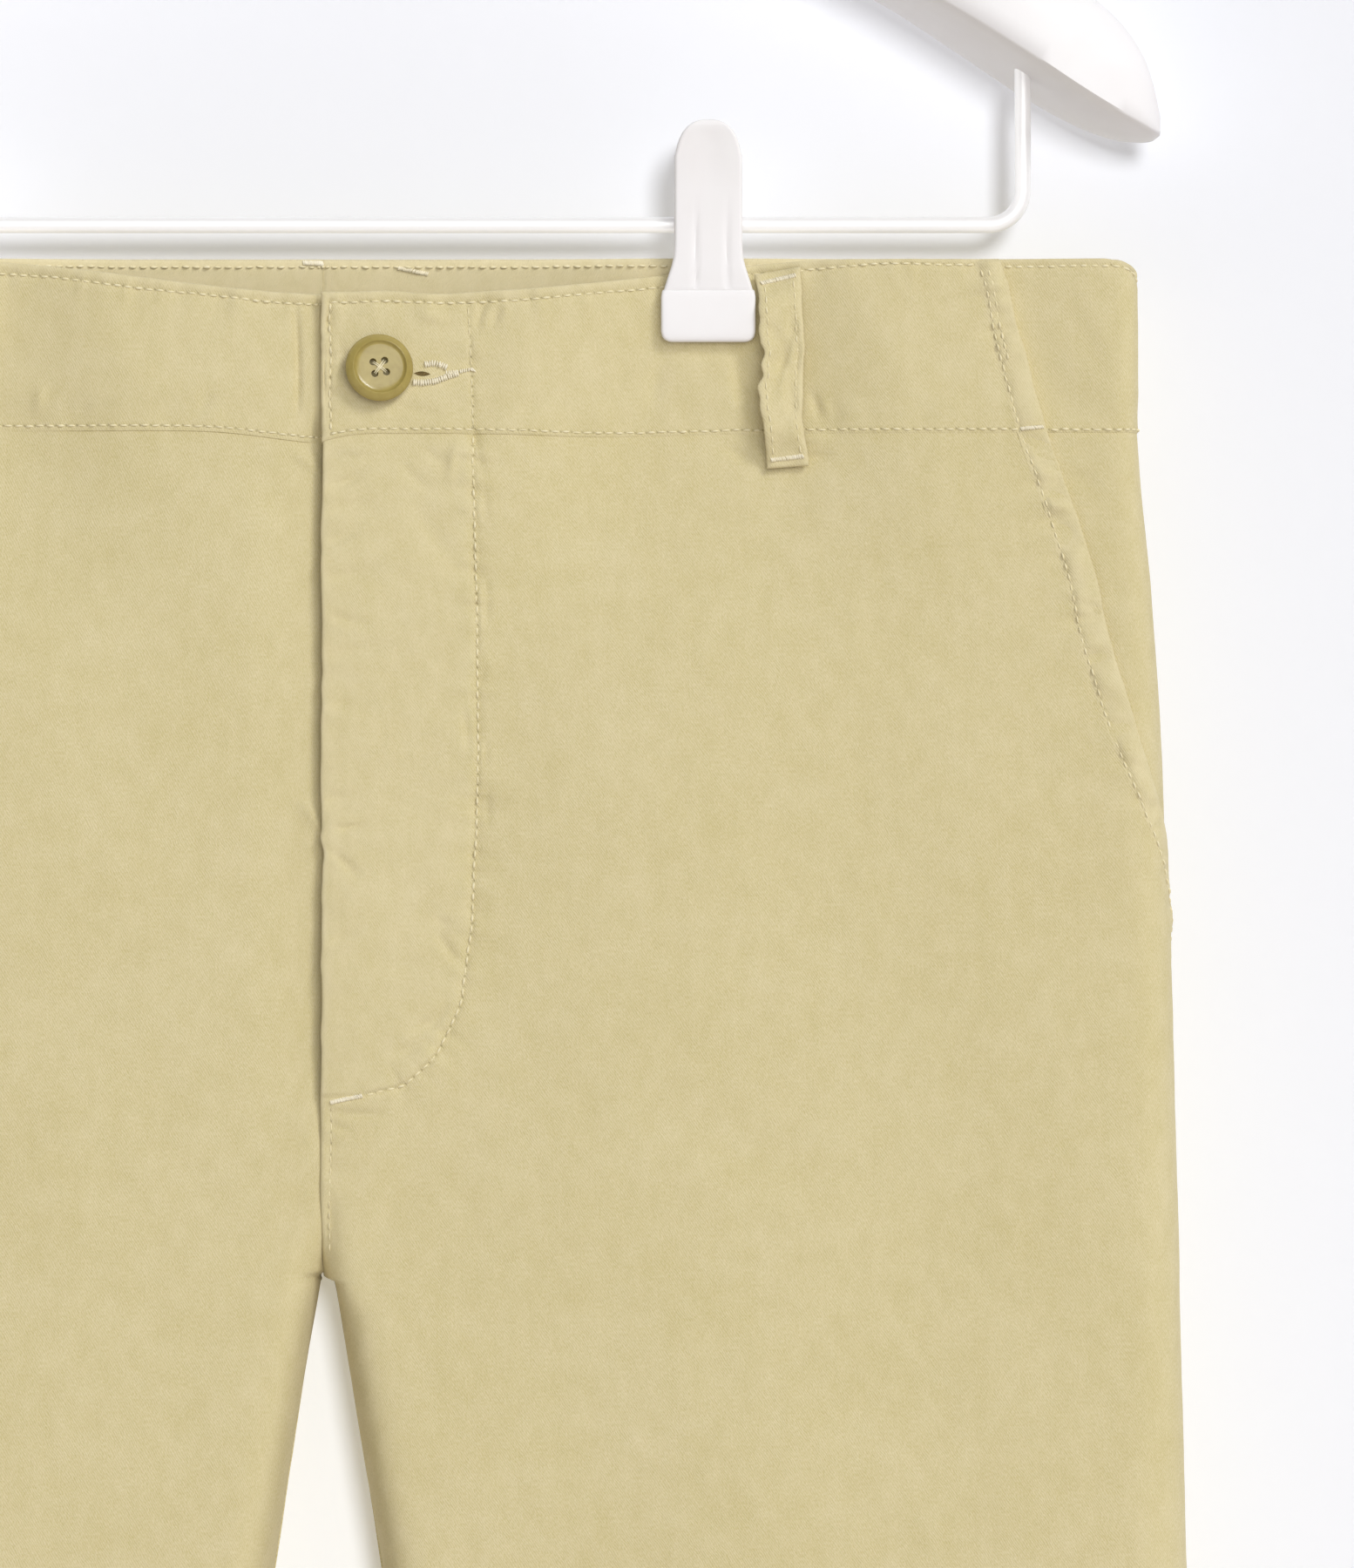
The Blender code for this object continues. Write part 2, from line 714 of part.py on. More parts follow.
def hem(name, side):
    """The turned-up cloth inside a leg's opening, a closed ring."""
    outer, inner = -(CLOTH + LAYER_GAP), -(CLOTH + LAYER_GAP + THIN_CLOTH)
    top, end = OUTSEAM - HEM_DEPTH, OUTSEAM - SEAM
    rings = []
    for depth, out in ((top, outer), (end, outer), (end, inner), (top, inner)):
        reaches = front_columns(side, depth)[1:-1] + back_columns(side, depth)[:-1]
        rings.append([layer_point(side, reach, depth, out) for reach in reaches])
    loft(name, rings, TWILL, closed=True)


def belt_loop(loop):
    """A strip sewn down at both ends, standing off the waistband between."""
    rows = []
    for share in spread(0.0, 1.0, 10):
        depth = mix(LOOP_TOP, LOOP_END, share)
        arch = ease(share / 0.20) * ease((1 - share) / 0.22)
        out = BAND_PROUD + LOOP_SEAT + LOOP_CLOTH + LOOP_STAND * arch
        row = []
        for across in (-0.5, 0.0, 0.5):
            x = loop.x + loop.lean * share + LOOP_WIDTH * across
            y = loop.face * (swell(loop.face, loop.side, abs(x), depth) + out)
            row.append(Vector((loop.side * x, y, WAIST_TOP_Z - depth)))
        rows.append(row if loop.face == FRONT else row[::-1])
    cloth(loop.name, loop.side, rows, LOOP_CLOTH, TWILL)


def button():
    """A turned four-hole button on the waistband's overlap."""
    reach = front_reach(LEFT, BUTTON_X, BUTTON_DEPTH)
    on_body = layer_point(LEFT, reach, BUTTON_DEPTH, 0.0)
    outwards = (layer_point(LEFT, reach, BUTTON_DEPTH, 0.01) - on_body).normalized()
    turn = outwards.to_track_quat("Z", "Y")
    seat = on_body + outwards * (BAND_PROUD + 2 * SEAM)
    radius, thick = BUTTON_RADIUS, BUTTON_THICK
    profile = (
        (0.0, 0.54 * thick), (0.52 * radius, 0.54 * thick), (0.70 * radius, 0.66 * thick),
        (0.80 * radius, 0.92 * thick), (0.90 * radius, thick), (radius, 0.66 * thick),
        (0.97 * radius, 0.30 * thick), (0.62 * radius, 0.0), (0.0, 0.0),
    )
    bm = bmesh.new()
    line = [bm.verts.new((r, 0, z)) for r, z in profile]
    for start, end in zip(line, line[1:]):
        bm.edges.new((start, end))
    bmesh.ops.spin(bm, geom=bm.verts[:] + bm.edges[:], cent=(0, 0, 0), axis=(0, 0, 1),
                   angle=math.tau, steps=24, use_merge=True)
    bmesh.ops.remove_doubles(bm, verts=bm.verts, dist=0.00001)
    bmesh.ops.recalc_face_normals(bm, faces=bm.faces)
    bm.transform(turn.to_matrix().to_4x4())
    disc = finish(mesh_object("button", bm), HORN)
    disc.location = seat
    for i in range(4):
        angle = math.radians(45 + 90 * i)
        aside = turn @ Vector((math.cos(angle), math.sin(angle), 0)) * BUTTON_HOLE_RING
        cut(disc, cylinder(f"thread_hole_{i}", BUTTON_HOLE, 0.02, seat + aside, outwards, 8))


# ------------------------------------------------------- the hanger
def arm_ring(x, side):
    """One section of the arm: a flat underside and a domed top."""
    under, tilt, half, height = (
        read(ARM, "x", x, column) for column in ("underside", "tilt", "half_depth", "height")
    )
    ring = []
    for i in range(DOME_STEPS + 1):
        turn = math.pi * i / DOME_STEPS
        rise = height * max(0.0, math.sin(turn)) ** DOME_FULLNESS if 0 < i < DOME_STEPS else 0.0
        base = under + tilt / 2 * math.cos(turn)
        ring.append(Vector((side * x, -half * math.cos(turn), WAIST_TOP_Z + base + rise)))
    return ring


def hanger_body():
    """The moulded shoulders, with sockets for the hook and the bar's ends."""
    xs = sorted([row.x for row in ARM] + [0.045, 0.080, 0.123])
    rings = [arm_ring(x, RIGHT) for x in reversed(xs[1:])] + [arm_ring(x, LEFT) for x in xs]
    body = loft("hanger_body", rings, WHITE_PLASTIC)
    for side, word in ((LEFT, "left"), (RIGHT, "right")):
        mouth = arm_underside(BAR_HALF)
        length = SOCKET_DEPTH + 0.016
        centre = Vector((side * BAR_HALF, 0, mouth + SOCKET_DEPTH - length / 2))
        cut(body, cylinder(f"bar_socket_{word}", BAR_RADIUS + SOCKET_CLEAR, length,
                           centre, (0, 0, 1)))
    cut(body, cylinder("hook_socket", HOOK_WIRE + SOCKET_CLEAR, 2 * HOOK_SOCKET,
                       Vector((0, 0, neck_top())), (0, 0, 1)))


def arm_underside(x):
    """Z of the arm's underside above the hanging plane."""
    return WAIST_TOP_Z + read(ARM, "x", x, "underside")


def neck_top():
    """Z of the hanger's highest moulded point."""
    return WAIST_TOP_Z + ARM[0].underside + ARM[0].height


def hanger_hook():
    """A round wire hook, its stem held in the neck."""
    arc = HOOK_INSIDE + HOOK_WIRE
    points = []
    for angle in spread(math.radians(200), math.radians(-50), 16):
        points.append(Vector((arc * math.cos(angle), 0, arc * math.sin(angle) - HOOK_INSIDE)))
    start, end = points[-1], Vector((0, 0, HOOK_STEM_TOP))
    leaving = start + Vector((-math.sin(math.radians(50)), 0, -math.cos(math.radians(50)))) * 0.012
    arriving = end + Vector((0, 0, 0.010))
    for t in spread(0.0, 1.0, 6)[1:]:
        u = 1 - t
        points.append(start * u**3 + leaving * 3 * t * u * u + arriving * 3 * t * t * u + end * t**3)
    points.append(Vector((0, 0, neck_top() - HOOK_SOCKET + SEAM)))
    wire("hanger_hook", points, HOOK_WIRE, STEEL)


def hanger_bar():
    """The wire that carries the clips, bent up at both ends into the arms."""
    low = WAIST_TOP_Z + BAR_HEIGHT
    half = [Vector((BAR_HALF, 0, arm_underside(BAR_HALF) + SOCKET_DEPTH - SEAM))]
    for angle in spread(0.0, math.pi / 2, 6):
        half.append(Vector((BAR_HALF - BAR_BEND * (1 - math.cos(angle)), 0,
                            low + BAR_BEND * (1 - math.sin(angle)))))
    wire("hanger_bar", half + [Vector((-p.x, 0, p.z)) for p in reversed(half)],
         BAR_RADIUS, WHITE_WIRE)


def clip_jaw(name, middle, face):
    """One lever of a clip: a finger tab that widens into a grip pad."""
    rings = []
    for jaw in JAW:
        near, far = jaw.inside, jaw.inside + jaw.thick
        shoulder = mix(near, far, 0.7)
        corners = ((-1.0, near), (1.0, near), (1.0, shoulder), (0.82, far),
                   (-0.82, far), (-1.0, shoulder))
        rings.append([Vector((middle + jaw.half * across, face * y, WAIST_TOP_Z + jaw.height))
                      for across, y in corners])
    loft(name, rings, WHITE_PLASTIC)


def clip_spring(name, middle):
    """The coiled spring round the bar, as a plain tube."""
    centre = Vector((middle, 0, WAIST_TOP_Z + BAR_HEIGHT))
    spring = finish(cylinder(name, SPRING_RADIUS, SPRING_HALF * 2, centre, (1, 0, 0)), STEEL)
    cut(spring, cylinder(name + "_bore", BAR_RADIUS + SOCKET_CLEAR, 0.03, centre, (1, 0, 0)))


# ------------------------------------------------------- the whole part
for old in list(bpy.data.objects):
    bpy.data.objects.remove(old)
part = bpy.data.collections.new("chino_shorts_on_hanger")
cutters = bpy.data.collections.new("cutters")
bpy.context.scene.collection.children.link(part)
bpy.context.scene.collection.children.link(cutters)

for side, word in ((LEFT, "left"), (RIGHT, "right")):
    panel(f"front_{word}", side, front_columns)
    panel(f"back_{word}", side, back_columns)
    pocket_facing(f"pocket_facing_{word}", side)
    pocket_strip(f"pocket_strip_{word}", side)
    pocket_bag(f"pocket_bag_{word}", side)
    back_band(f"waistband_back_{word}", side)
    hem(f"hem_{word}", side)
    clip_jaw(f"clip_{word}_jaw_front", side * CLIP_X, FRONT)
    clip_jaw(f"clip_{word}_jaw_back", side * CLIP_X, BACK)
    clip_spring(f"clip_{word}_spring", side * CLIP_X)
for place in LOOPS:
    belt_loop(place)
left_front_band()
right_front_band()
zip_strip()
button()
hanger_body()
hanger_hook()
hanger_bar()
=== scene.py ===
"""Looks for a pair of sand-coloured chino shorts on a white clip hanger.

Everything is in metres in the part's own frame: the origin is the inside top of
the hanger's hook, +Z is up and the shorts face -Y. Left and right are the
wearer's. A place on the cloth is (reach, depth): depth is measured down from the
top of the waistband, and reach round the cloth from the side outline, negative
on the front and positive on the back. Tables of sizes are in millimetres.
"""

import logging
import math
from collections.abc import Callable, Iterable, Sequence
from dataclasses import dataclass, field
from enum import Enum, IntEnum

import bmesh
import bpy
import numpy as np
from mathutils import Matrix, Vector


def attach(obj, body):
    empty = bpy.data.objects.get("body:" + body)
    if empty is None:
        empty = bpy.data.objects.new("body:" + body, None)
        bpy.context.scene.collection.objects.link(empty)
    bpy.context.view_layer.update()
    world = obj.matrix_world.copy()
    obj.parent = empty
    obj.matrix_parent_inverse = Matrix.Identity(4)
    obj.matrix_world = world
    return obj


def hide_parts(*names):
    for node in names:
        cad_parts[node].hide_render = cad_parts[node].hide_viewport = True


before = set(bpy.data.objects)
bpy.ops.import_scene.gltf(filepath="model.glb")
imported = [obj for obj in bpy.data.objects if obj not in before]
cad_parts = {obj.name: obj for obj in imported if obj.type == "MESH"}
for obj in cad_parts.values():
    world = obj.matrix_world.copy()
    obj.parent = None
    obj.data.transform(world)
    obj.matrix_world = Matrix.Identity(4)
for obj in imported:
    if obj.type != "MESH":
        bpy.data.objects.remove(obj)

LOG = logging.getLogger("chino_shorts")
Array = np.ndarray
Spot = tuple[float, float]
Place = Callable[[Array, Array, Array], Array]
MM = 0.001
RIGHT_ANGLE = math.pi / 2
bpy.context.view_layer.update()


class Side(IntEnum):
    """The wearer's side; its value is the sign of X there."""

    LEFT = 1
    RIGHT = -1


class Face(IntEnum):
    """Front or back; its value is the sign of Y there."""

    FRONT = -1
    BACK = 1


class Flag(Enum):
    """Whether a light misses one piece, or lights it alone."""

    OFF = "EXCLUDE"
    ONLY = "INCLUDE"


# --------------------------------------------------------------- numbers
def ease(t: Array | float) -> Array:
    """Smooth rise from 0 at t = 0 to 1 at t = 1."""
    t = np.clip(t, 0.0, 1.0)
    return t * t * (3 - 2 * t)


def fall(t: Array | float) -> Array:
    """Smooth fall from 1 at t = 0 to 0 at t = 1."""
    return 1 - ease(t)


def mix(a: Array | float, b: Array | float, t: Array | float) -> Array:
    """The value a share t of the way from a to b."""
    return a + (b - a) * t


def bell(distance: Array, width: float) -> Array:
    """1 at no distance, falling away smoothly over the width."""
    return np.exp(-((distance / width) ** 2))


def curve_through(keys: Array, values: Array, at: Array | float) -> Array:
    """Reads values on a smooth curve through rising keys, held level past both ends."""
    at = np.clip(at, keys[0], keys[-1])
    i = np.clip(np.searchsorted(keys, at, side="right") - 1, 0, len(keys) - 2)
    n = np.arange(len(keys))
    low, high = np.maximum(n - 1, 0), np.minimum(n + 1, len(keys) - 1)
    slopes = (values[high] - values[low]) / (keys[high] - keys[low])
    span = keys[i + 1] - keys[i]
    t = (at - keys[i]) / span
    starts = (2 * t**3 - 3 * t**2 + 1) * values[i] + (t**3 - 2 * t**2 + t) * span * slopes[i]
    return starts + (3 * t**2 - 2 * t**3) * values[i + 1] + (t**3 - t**2) * span * slopes[i + 1]


def cloth_noise(u: Array, v: Array | float, seed: int) -> Array:
    """Smooth waves of about one unit's size, from -1 to 1, the same each run."""
    cell_u, cell_v = np.floor(u), np.floor(v)
    fu, fv = ease(u - cell_u), ease(v - cell_v)

    def corner(du: int, dv: int) -> Array:
        """The value at one corner of each cell."""
        turn = np.sin((cell_u + du) * 127.1 + (cell_v + dv) * 311.7 + seed * 74.7) * 43758.5453
        return (turn - np.floor(turn)) * 2 - 1

    return mix(mix(corner(0, 0), corner(1, 0), fu), mix(corner(0, 1), corner(1, 1), fu), fv)


def waver(at: Array, seed: int, *waves: tuple[float, float]) -> Array:
    """Unevenness along a line, of waves given by height and length in millimetres."""
    return sum(
        high * MM * cloth_noise(at / (long * MM), 0.0, seed + i) for i, (high, long) in enumerate(waves)
    )


def unit(vectors: Array) -> Array:
    """The vectors, each made one long."""
    return vectors / np.maximum(np.linalg.norm(vectors, axis=-1, keepdims=True), 1e-12)


def steps(start: float, end: float, first: Sequence[float], last: Sequence[float], pitch: float) -> Array:
    """Positions from start to end, close together at both ends.

    Args:
        start: First position.
        end: Last position.
        first: Extra distances from the start, rising.
        last: Extra distances from the end, rising.
        pitch: Spacing in between.

    Returns:
        The rising positions.
    """
    head = [start] + [start + d for d in first]
    tail = [end - d for d in reversed(last)] + [end]
    count = max(2, round((tail[0] - head[-1]) / pitch))
    return np.array(head + list(np.linspace(head[-1], tail[0], count + 1)[1:-1]) + tail)


@dataclass(frozen=True)
class Table:
    """Measures in millimetres at rising positions, read on smooth curves."""

    names: tuple[str, ...]
    rows: tuple[tuple[float, ...], ...]

    def read(self, name: str, at: Array | float) -> Array:
        """One measure at these positions, in metres."""
        rows = np.array(self.rows) * MM
        return curve_through(rows[:, 0], rows[:, self.names.index(name)], at)


# --------------------------------------------------------------- the form
LEVELS = Table(("depth", "side", "front", "back"), (
    (0, 212.0, 6.2, 6.2), (45, 213.3, 8.8, 9.2), (90, 217.3, 12.2, 14.0), (160, 221.2, 15.2, 18.5),
    (266, 223.8, 17.0, 20.0), (343, 225.9, 19.2, 20.8), (420, 227.6, 21.6, 22.6), (490, 229.1, 23.6, 24.4),
))
POCKET = Table(("depth", "reach"), (
    (0, -38.8), (28.5, -32.5), (45, -29.0), (71.4, -23.5),
    (104, -19.0), (134.5, -11.1), (157, -1.0), (184, 12),
))
# Broad soft folds down each face: X, top, end, width, height, and how far each leans outwards.
FOLDS = {
    Face.FRONT: ((70, 60, 300, 30, 1.1, 20), (152, 50, 330, 26, -1.2, -12),
                 (112, 240, 500, 30, 1.4, 6), (182, 270, 500, 24, 1.0, 4)),
    Face.BACK: ((60, 55, 250, 28, -1.6, 22), (125, 50, 260, 32, 1.8, 14),
                (85, 230, 500, 34, 2.0, 10), (150, 220, 500, 30, -1.8, 10)),
}


@dataclass(frozen=True)
class Section:
    """Half sections of the body, one for each place asked about."""

    thick: Array
    outline: Array
    inner: Array
    fold: Array
    quarter: Array
    inner_fold: Array
    inner_quarter: Array
    total: Array


@dataclass(frozen=True)
class ShortsForm:
    """The surface that every cloth piece lies on, as it hangs."""

    waist_top_z: float = -0.235
    outseam: float = 0.490
    band_depth: float = 0.045
    crotch: float = 0.2665
    crotch_curve: float = 0.040
    centre_x: float = 0.0006
    pressed: float = 4.0
    fly_end: float = 0.219
    fly_lift: float = 0.0014
    fly_sink: float = 0.0016
    fly_rise: float = 0.045
    side_seam: float = 0.012
    clip_x: float = 0.1005
    pad_half: float = 0.0122
    pad_end: float = 0.0217
    pinched: float = 0.0016
    pocket_end: float = 0.184

    def inner_x(self, side: Side, depth: Array, parting: float = 0.0014) -> Array:
        """X, counted outwards, of the centre front or of the leg, which parts over this depth."""
        centre = -self.centre_x if side == Side.LEFT else self.centre_x + 0.0003
        below = np.maximum(0.0, depth - self.crotch)
        parted = 0.0015 + side * 0.0008 + 0.172 * below - 0.10 * below**2
        return mix(centre, parted, ease(below / parting))

    def fold_height(self, face: Face, x: Array, depth: Array) -> Array:
        """The sum of the broad folds."""
        total = np.zeros_like(x)
        for row in FOLDS[face]:
            middle, top, end, width, height, lean = np.array(row) * MM
            t = (depth - top) / (end - top)
            fades = 1.0 if end > self.outseam else ease((1 - t) / 0.45)
            total = total + height * ease(t / 0.35) * fades * bell(x - middle - lean * t, width)
        return total

    def pinch(self, x: Array, depth: Array) -> Array:
        """1 where a clip holds the cloth, fading to 0 around it."""
        away = np.abs(x - self.clip_x) - self.pad_half - 0.001
        return fall(away / (0.030 + 0.35 * depth)) * fall((depth - self.pad_end - 0.002) / 0.090)

    def swell(self, face: Face, side: Side, x: Array, depth: Array) -> Array:
        """How far the cloth stands from the hanging plane."""
        base = LEVELS.read(face.name.lower(), depth) + self.fold_height(face, x, depth)
        base = base * mix(1.0, 0.88, ease((x - 0.09) / 0.12))
        base = mix(base, self.pinched, self.pinch(x, depth))
        if face == Face.BACK:
            return base
        fly = fall((depth - self.fly_end + 0.012) / 0.030)
        if side == Side.LEFT:
            return base + mix(0.0002, self.fly_lift, fly) * fall(x / self.fly_rise)
        return base - mix(0.0002, self.fly_sink, fly) * fall((x - 0.001) / 0.020)

    def section(self, face: Face, side: Side, depth: Array | float) -> Section:
        """Half sections at these depths."""
        thick = LEVELS.read(face.name.lower(), depth)
        outline, inner = LEVELS.read("side", depth), self.inner_x(side, depth)
        fold, inner_fold = 1.15 * thick, 0.9 * thick
        quarter, inner_quarter = (RIGHT_ANGLE * np.hypot(f, thick) / math.sqrt(2) for f in (fold, inner_fold))
        total = quarter + (outline - fold - inner - inner_fold) + inner_quarter
        return Section(thick, outline, inner, fold, quarter, inner_fold, inner_quarter, total)

    def half_point(self, face: Face, side: Side, far: Array, depth: Array) -> Array:
        """Points of one face, by distance round it from the outline."""
        s = self.section(face, side, depth)
        turn = np.clip(far / s.quarter, 0, 1) * RIGHT_ANGLE
        inner_turn = np.clip((far - s.total + s.inner_quarter) / s.inner_quarter, 0, 1) * RIGHT_ANGLE
        flat = s.outline - s.fold - (far - s.quarter)
        x = np.where(far < s.total - s.inner_quarter, flat, s.inner + s.inner_fold * (1 - np.sin(inner_turn)))
        x = np.where(far < s.quarter, s.outline - s.fold * (1 - np.cos(turn)), x)
        # The leg's edge is rolled as if the legs parted slowly, then shut in its last half millimetre.
        parted = 1 - np.clip((self.crotch - depth) / self.crotch_curve, 0, 1)
        rolled = np.clip(1 - (x - self.inner_x(side, depth, 0.0120)) / s.inner_fold, 0, 1) * parted
        closed = 1.0
        for share, power in (
            (np.clip(np.cos(turn), 0, 1), self.pressed),
            (rolled, self.pressed),
            (np.sin(inner_turn) * parted, 16),
        ):
            closed = closed * np.sqrt(np.maximum(0, 1 - share**power))
        y = face * self.swell(face, side, x, depth) * closed
        return np.stack([side * x, y, self.waist_top_z - depth], axis=-1)

    def point(self, side: Side, reach: Array, depth: Array | float) -> Array:
        """Points of the surface at these reaches and depths."""
        reach, depth = np.broadcast_arrays(np.asarray(reach, float), np.asarray(depth, float))
        front, back = (self.half_point(face, side, np.abs(reach), depth) for face in Face)
        return np.where((reach < 0)[..., None], front, back)

    def lifted(self, side: Side, reach: Array, depth: Array, out: Array | float) -> Array:
        """Points moved out along the surface's normal.

        Args:
            side: The wearer's side.
            reach: Reaches of the points.
            depth: Depths of the points.
            out: How far out to move each.

        Returns:
            The moved points, in an array one axis deeper than the reaches.
        """
        reach, depth = np.broadcast_arrays(np.asarray(reach, float), np.asarray(depth, float))
        step = 0.0005
        total = np.where(reach < 0, *(self.section(face, side, depth).total for face in Face))
        before = self.point(side, np.maximum(reach - step, -total), depth)
        after = self.point(side, np.minimum(reach + step, total), depth)
        down = self.point(side, reach, depth + step) - self.point(side, reach, depth - step)
        normal = unit(np.cross(down, after - before) * int(side))
        return self.point(side, reach, depth) + normal * np.broadcast_to(out, reach.shape)[..., None]

    def reach_at(self, face: Face, side: Side, x: Array | float, depth: Array | float) -> Array:
        """The reach of the flat part's place at this X, counted outwards."""
        s = self.section(face, side, np.asarray(depth, float))
        turn = np.arcsin(np.clip(1 - (x - s.inner) / s.inner_fold, 0, 1))
        round_edge = s.total - s.inner_quarter * (1 - turn / RIGHT_ANGLE)
        return face * np.where(x > s.inner + s.inner_fold, s.quarter + s.outline - s.fold - x, round_edge)

    def centre_reach(self, s: Section, turns: Array) -> Array:
        """Distances round the edge at the centre or inner leg, for shares of its quarter turn."""
        first = np.arccos(0.0002 / s.thick)[:, None]
        return (s.total - s.inner_quarter)[:, None] + s.inner_quarter[:, None] * first * turns / RIGHT_ANGLE

    def x_at(self, side: Side, reach: Array, depth: Array | float) -> Array:
        """X, counted outwards, of these places."""
        return self.point(side, reach, depth)[..., 0] * int(side)

    def pocket_reach(self, depth: Array | float) -> Array:
        """Reach of the slanted pocket edge."""
        return POCKET.read("reach", depth)

    def front_top(self, side: Side, x: Array) -> Array:
        """Depth of the front waistband's top edge, which dips between the clips."""
        if side == Side.LEFT:
            wave = 0.0004 * bell(x - 0.030, 0.008) - 0.0004 * bell(x - 0.016, 0.007)
            return 0.0088 * fall((x - 0.030) / 0.120) + wave
        return 0.0095 * fall((x + 0.010) / 0.120)

    def band_seam(self, side: Side, x: Array) -> Array:
        """Depth of the seam under the front waistband."""
        if side == Side.LEFT:
            dip = 0.0020 * np.maximum(0.0, 1 - x / 0.014) ** 2
            return self.band_depth + dip + 0.0009 * bell(x - 0.075, 0.022)
        return self.band_depth - 0.0010 * fall((x - 0.12) / 0.06) + 0.0032 * bell(x, 0.020)


# --------------------------------------------------------------- materials
def linear(code: str) -> tuple[float, float, float, float]:
    """Turns an sRGB hex colour to linear light with full alpha."""
    parts = [int(code[i : i + 2], 16) / 255 for i in (1, 3, 5)]
    light = [c / 12.92 if c <= 0.04045 else ((c + 0.055) / 1.055) ** 2.4 for c in parts]
    return (light[0], light[1], light[2], 1.0)


def node(tree: bpy.types.NodeTree, kind: str, values: dict[str | int, object]) -> bpy.types.Node:
    """Adds a node with its settings and links.

    Args:
        tree: The tree to add to.
        kind: The node's type, without its first words.
        values: Properties and inputs by name, or inputs by number. A socket is linked,
            and so is a node, by the first output that it uses.

    Returns:
        The new node.
    """
    made = tree.nodes.new("ShaderNode" + kind)
    for key, value in values.items():
        if isinstance(value, bpy.types.Node):
            value = next(socket for socket in value.outputs if socket.enabled)
        if isinstance(value, bpy.types.NodeSocket):
            tree.links.new(value, made.inputs[key])
        elif isinstance(key, str) and hasattr(made, key):
            setattr(made, key, value)
        else:
            made.inputs[key].default_value = value
    return made


@dataclass(frozen=True)
class Finish:
    """What every finish has: a name, and a way to make its material."""

    name: str

    def material(self) -> bpy.types.Material:
        """The finish's material, made once."""
        return bpy.data.materials.get(self.name) or self.make()

    def make(self) -> bpy.types.Material:
        """Builds the material round one shader."""
        material = bpy.data.materials.new(self.name)
        material.use_nodes = True
        tree = material.node_tree
        tree.nodes.clear()
        shader = node(tree, "BsdfPrincipled", self.look(tree))
        node(tree, "OutputMaterial", {"Surface": self.surface(tree, shader)})
        return material

    def look(self, tree: bpy.types.NodeTree) -> dict[str | int, object]:
        """The shader's inputs: numbers, colours and nodes."""
        raise NotImplementedError

    def surface(self, tree: bpy.types.NodeTree, shader: bpy.types.Node) -> bpy.types.Node:
        """What the material's surface is, which is the shader itself."""
        return shader

    def drift(self, tree: bpy.types.NodeTree, noise: dict[str, float]) -> bpy.types.Node:
        """Soft noise over the object's own metres."""
        place = node(tree, "TexCoord", {}).outputs["Object"]
        return node(tree, "TexNoise", {**noise, "Vector": place})

    def clouds(
        self, tree: bpy.types.NodeTree, noise: dict[str, float], dark: str, light: str
    ) -> bpy.types.Node:
        """A colour that drifts between two."""
        ends = {6: linear(dark), 7: linear(light), "Factor": self.drift(tree, noise)}
        return node(tree, "Mix", {"data_type": "RGBA", **ends})

    def grain(
        self, tree: bpy.types.NodeTree, noise: dict[str, float], strength: float, depth_mm: float
    ) -> bpy.types.Node:
        """A fine unevenness that the light catches."""
        height = self.drift(tree, noise)
        return node(tree, "Bump", {"Strength": strength, "Distance": depth_mm * MM, "Height": height})


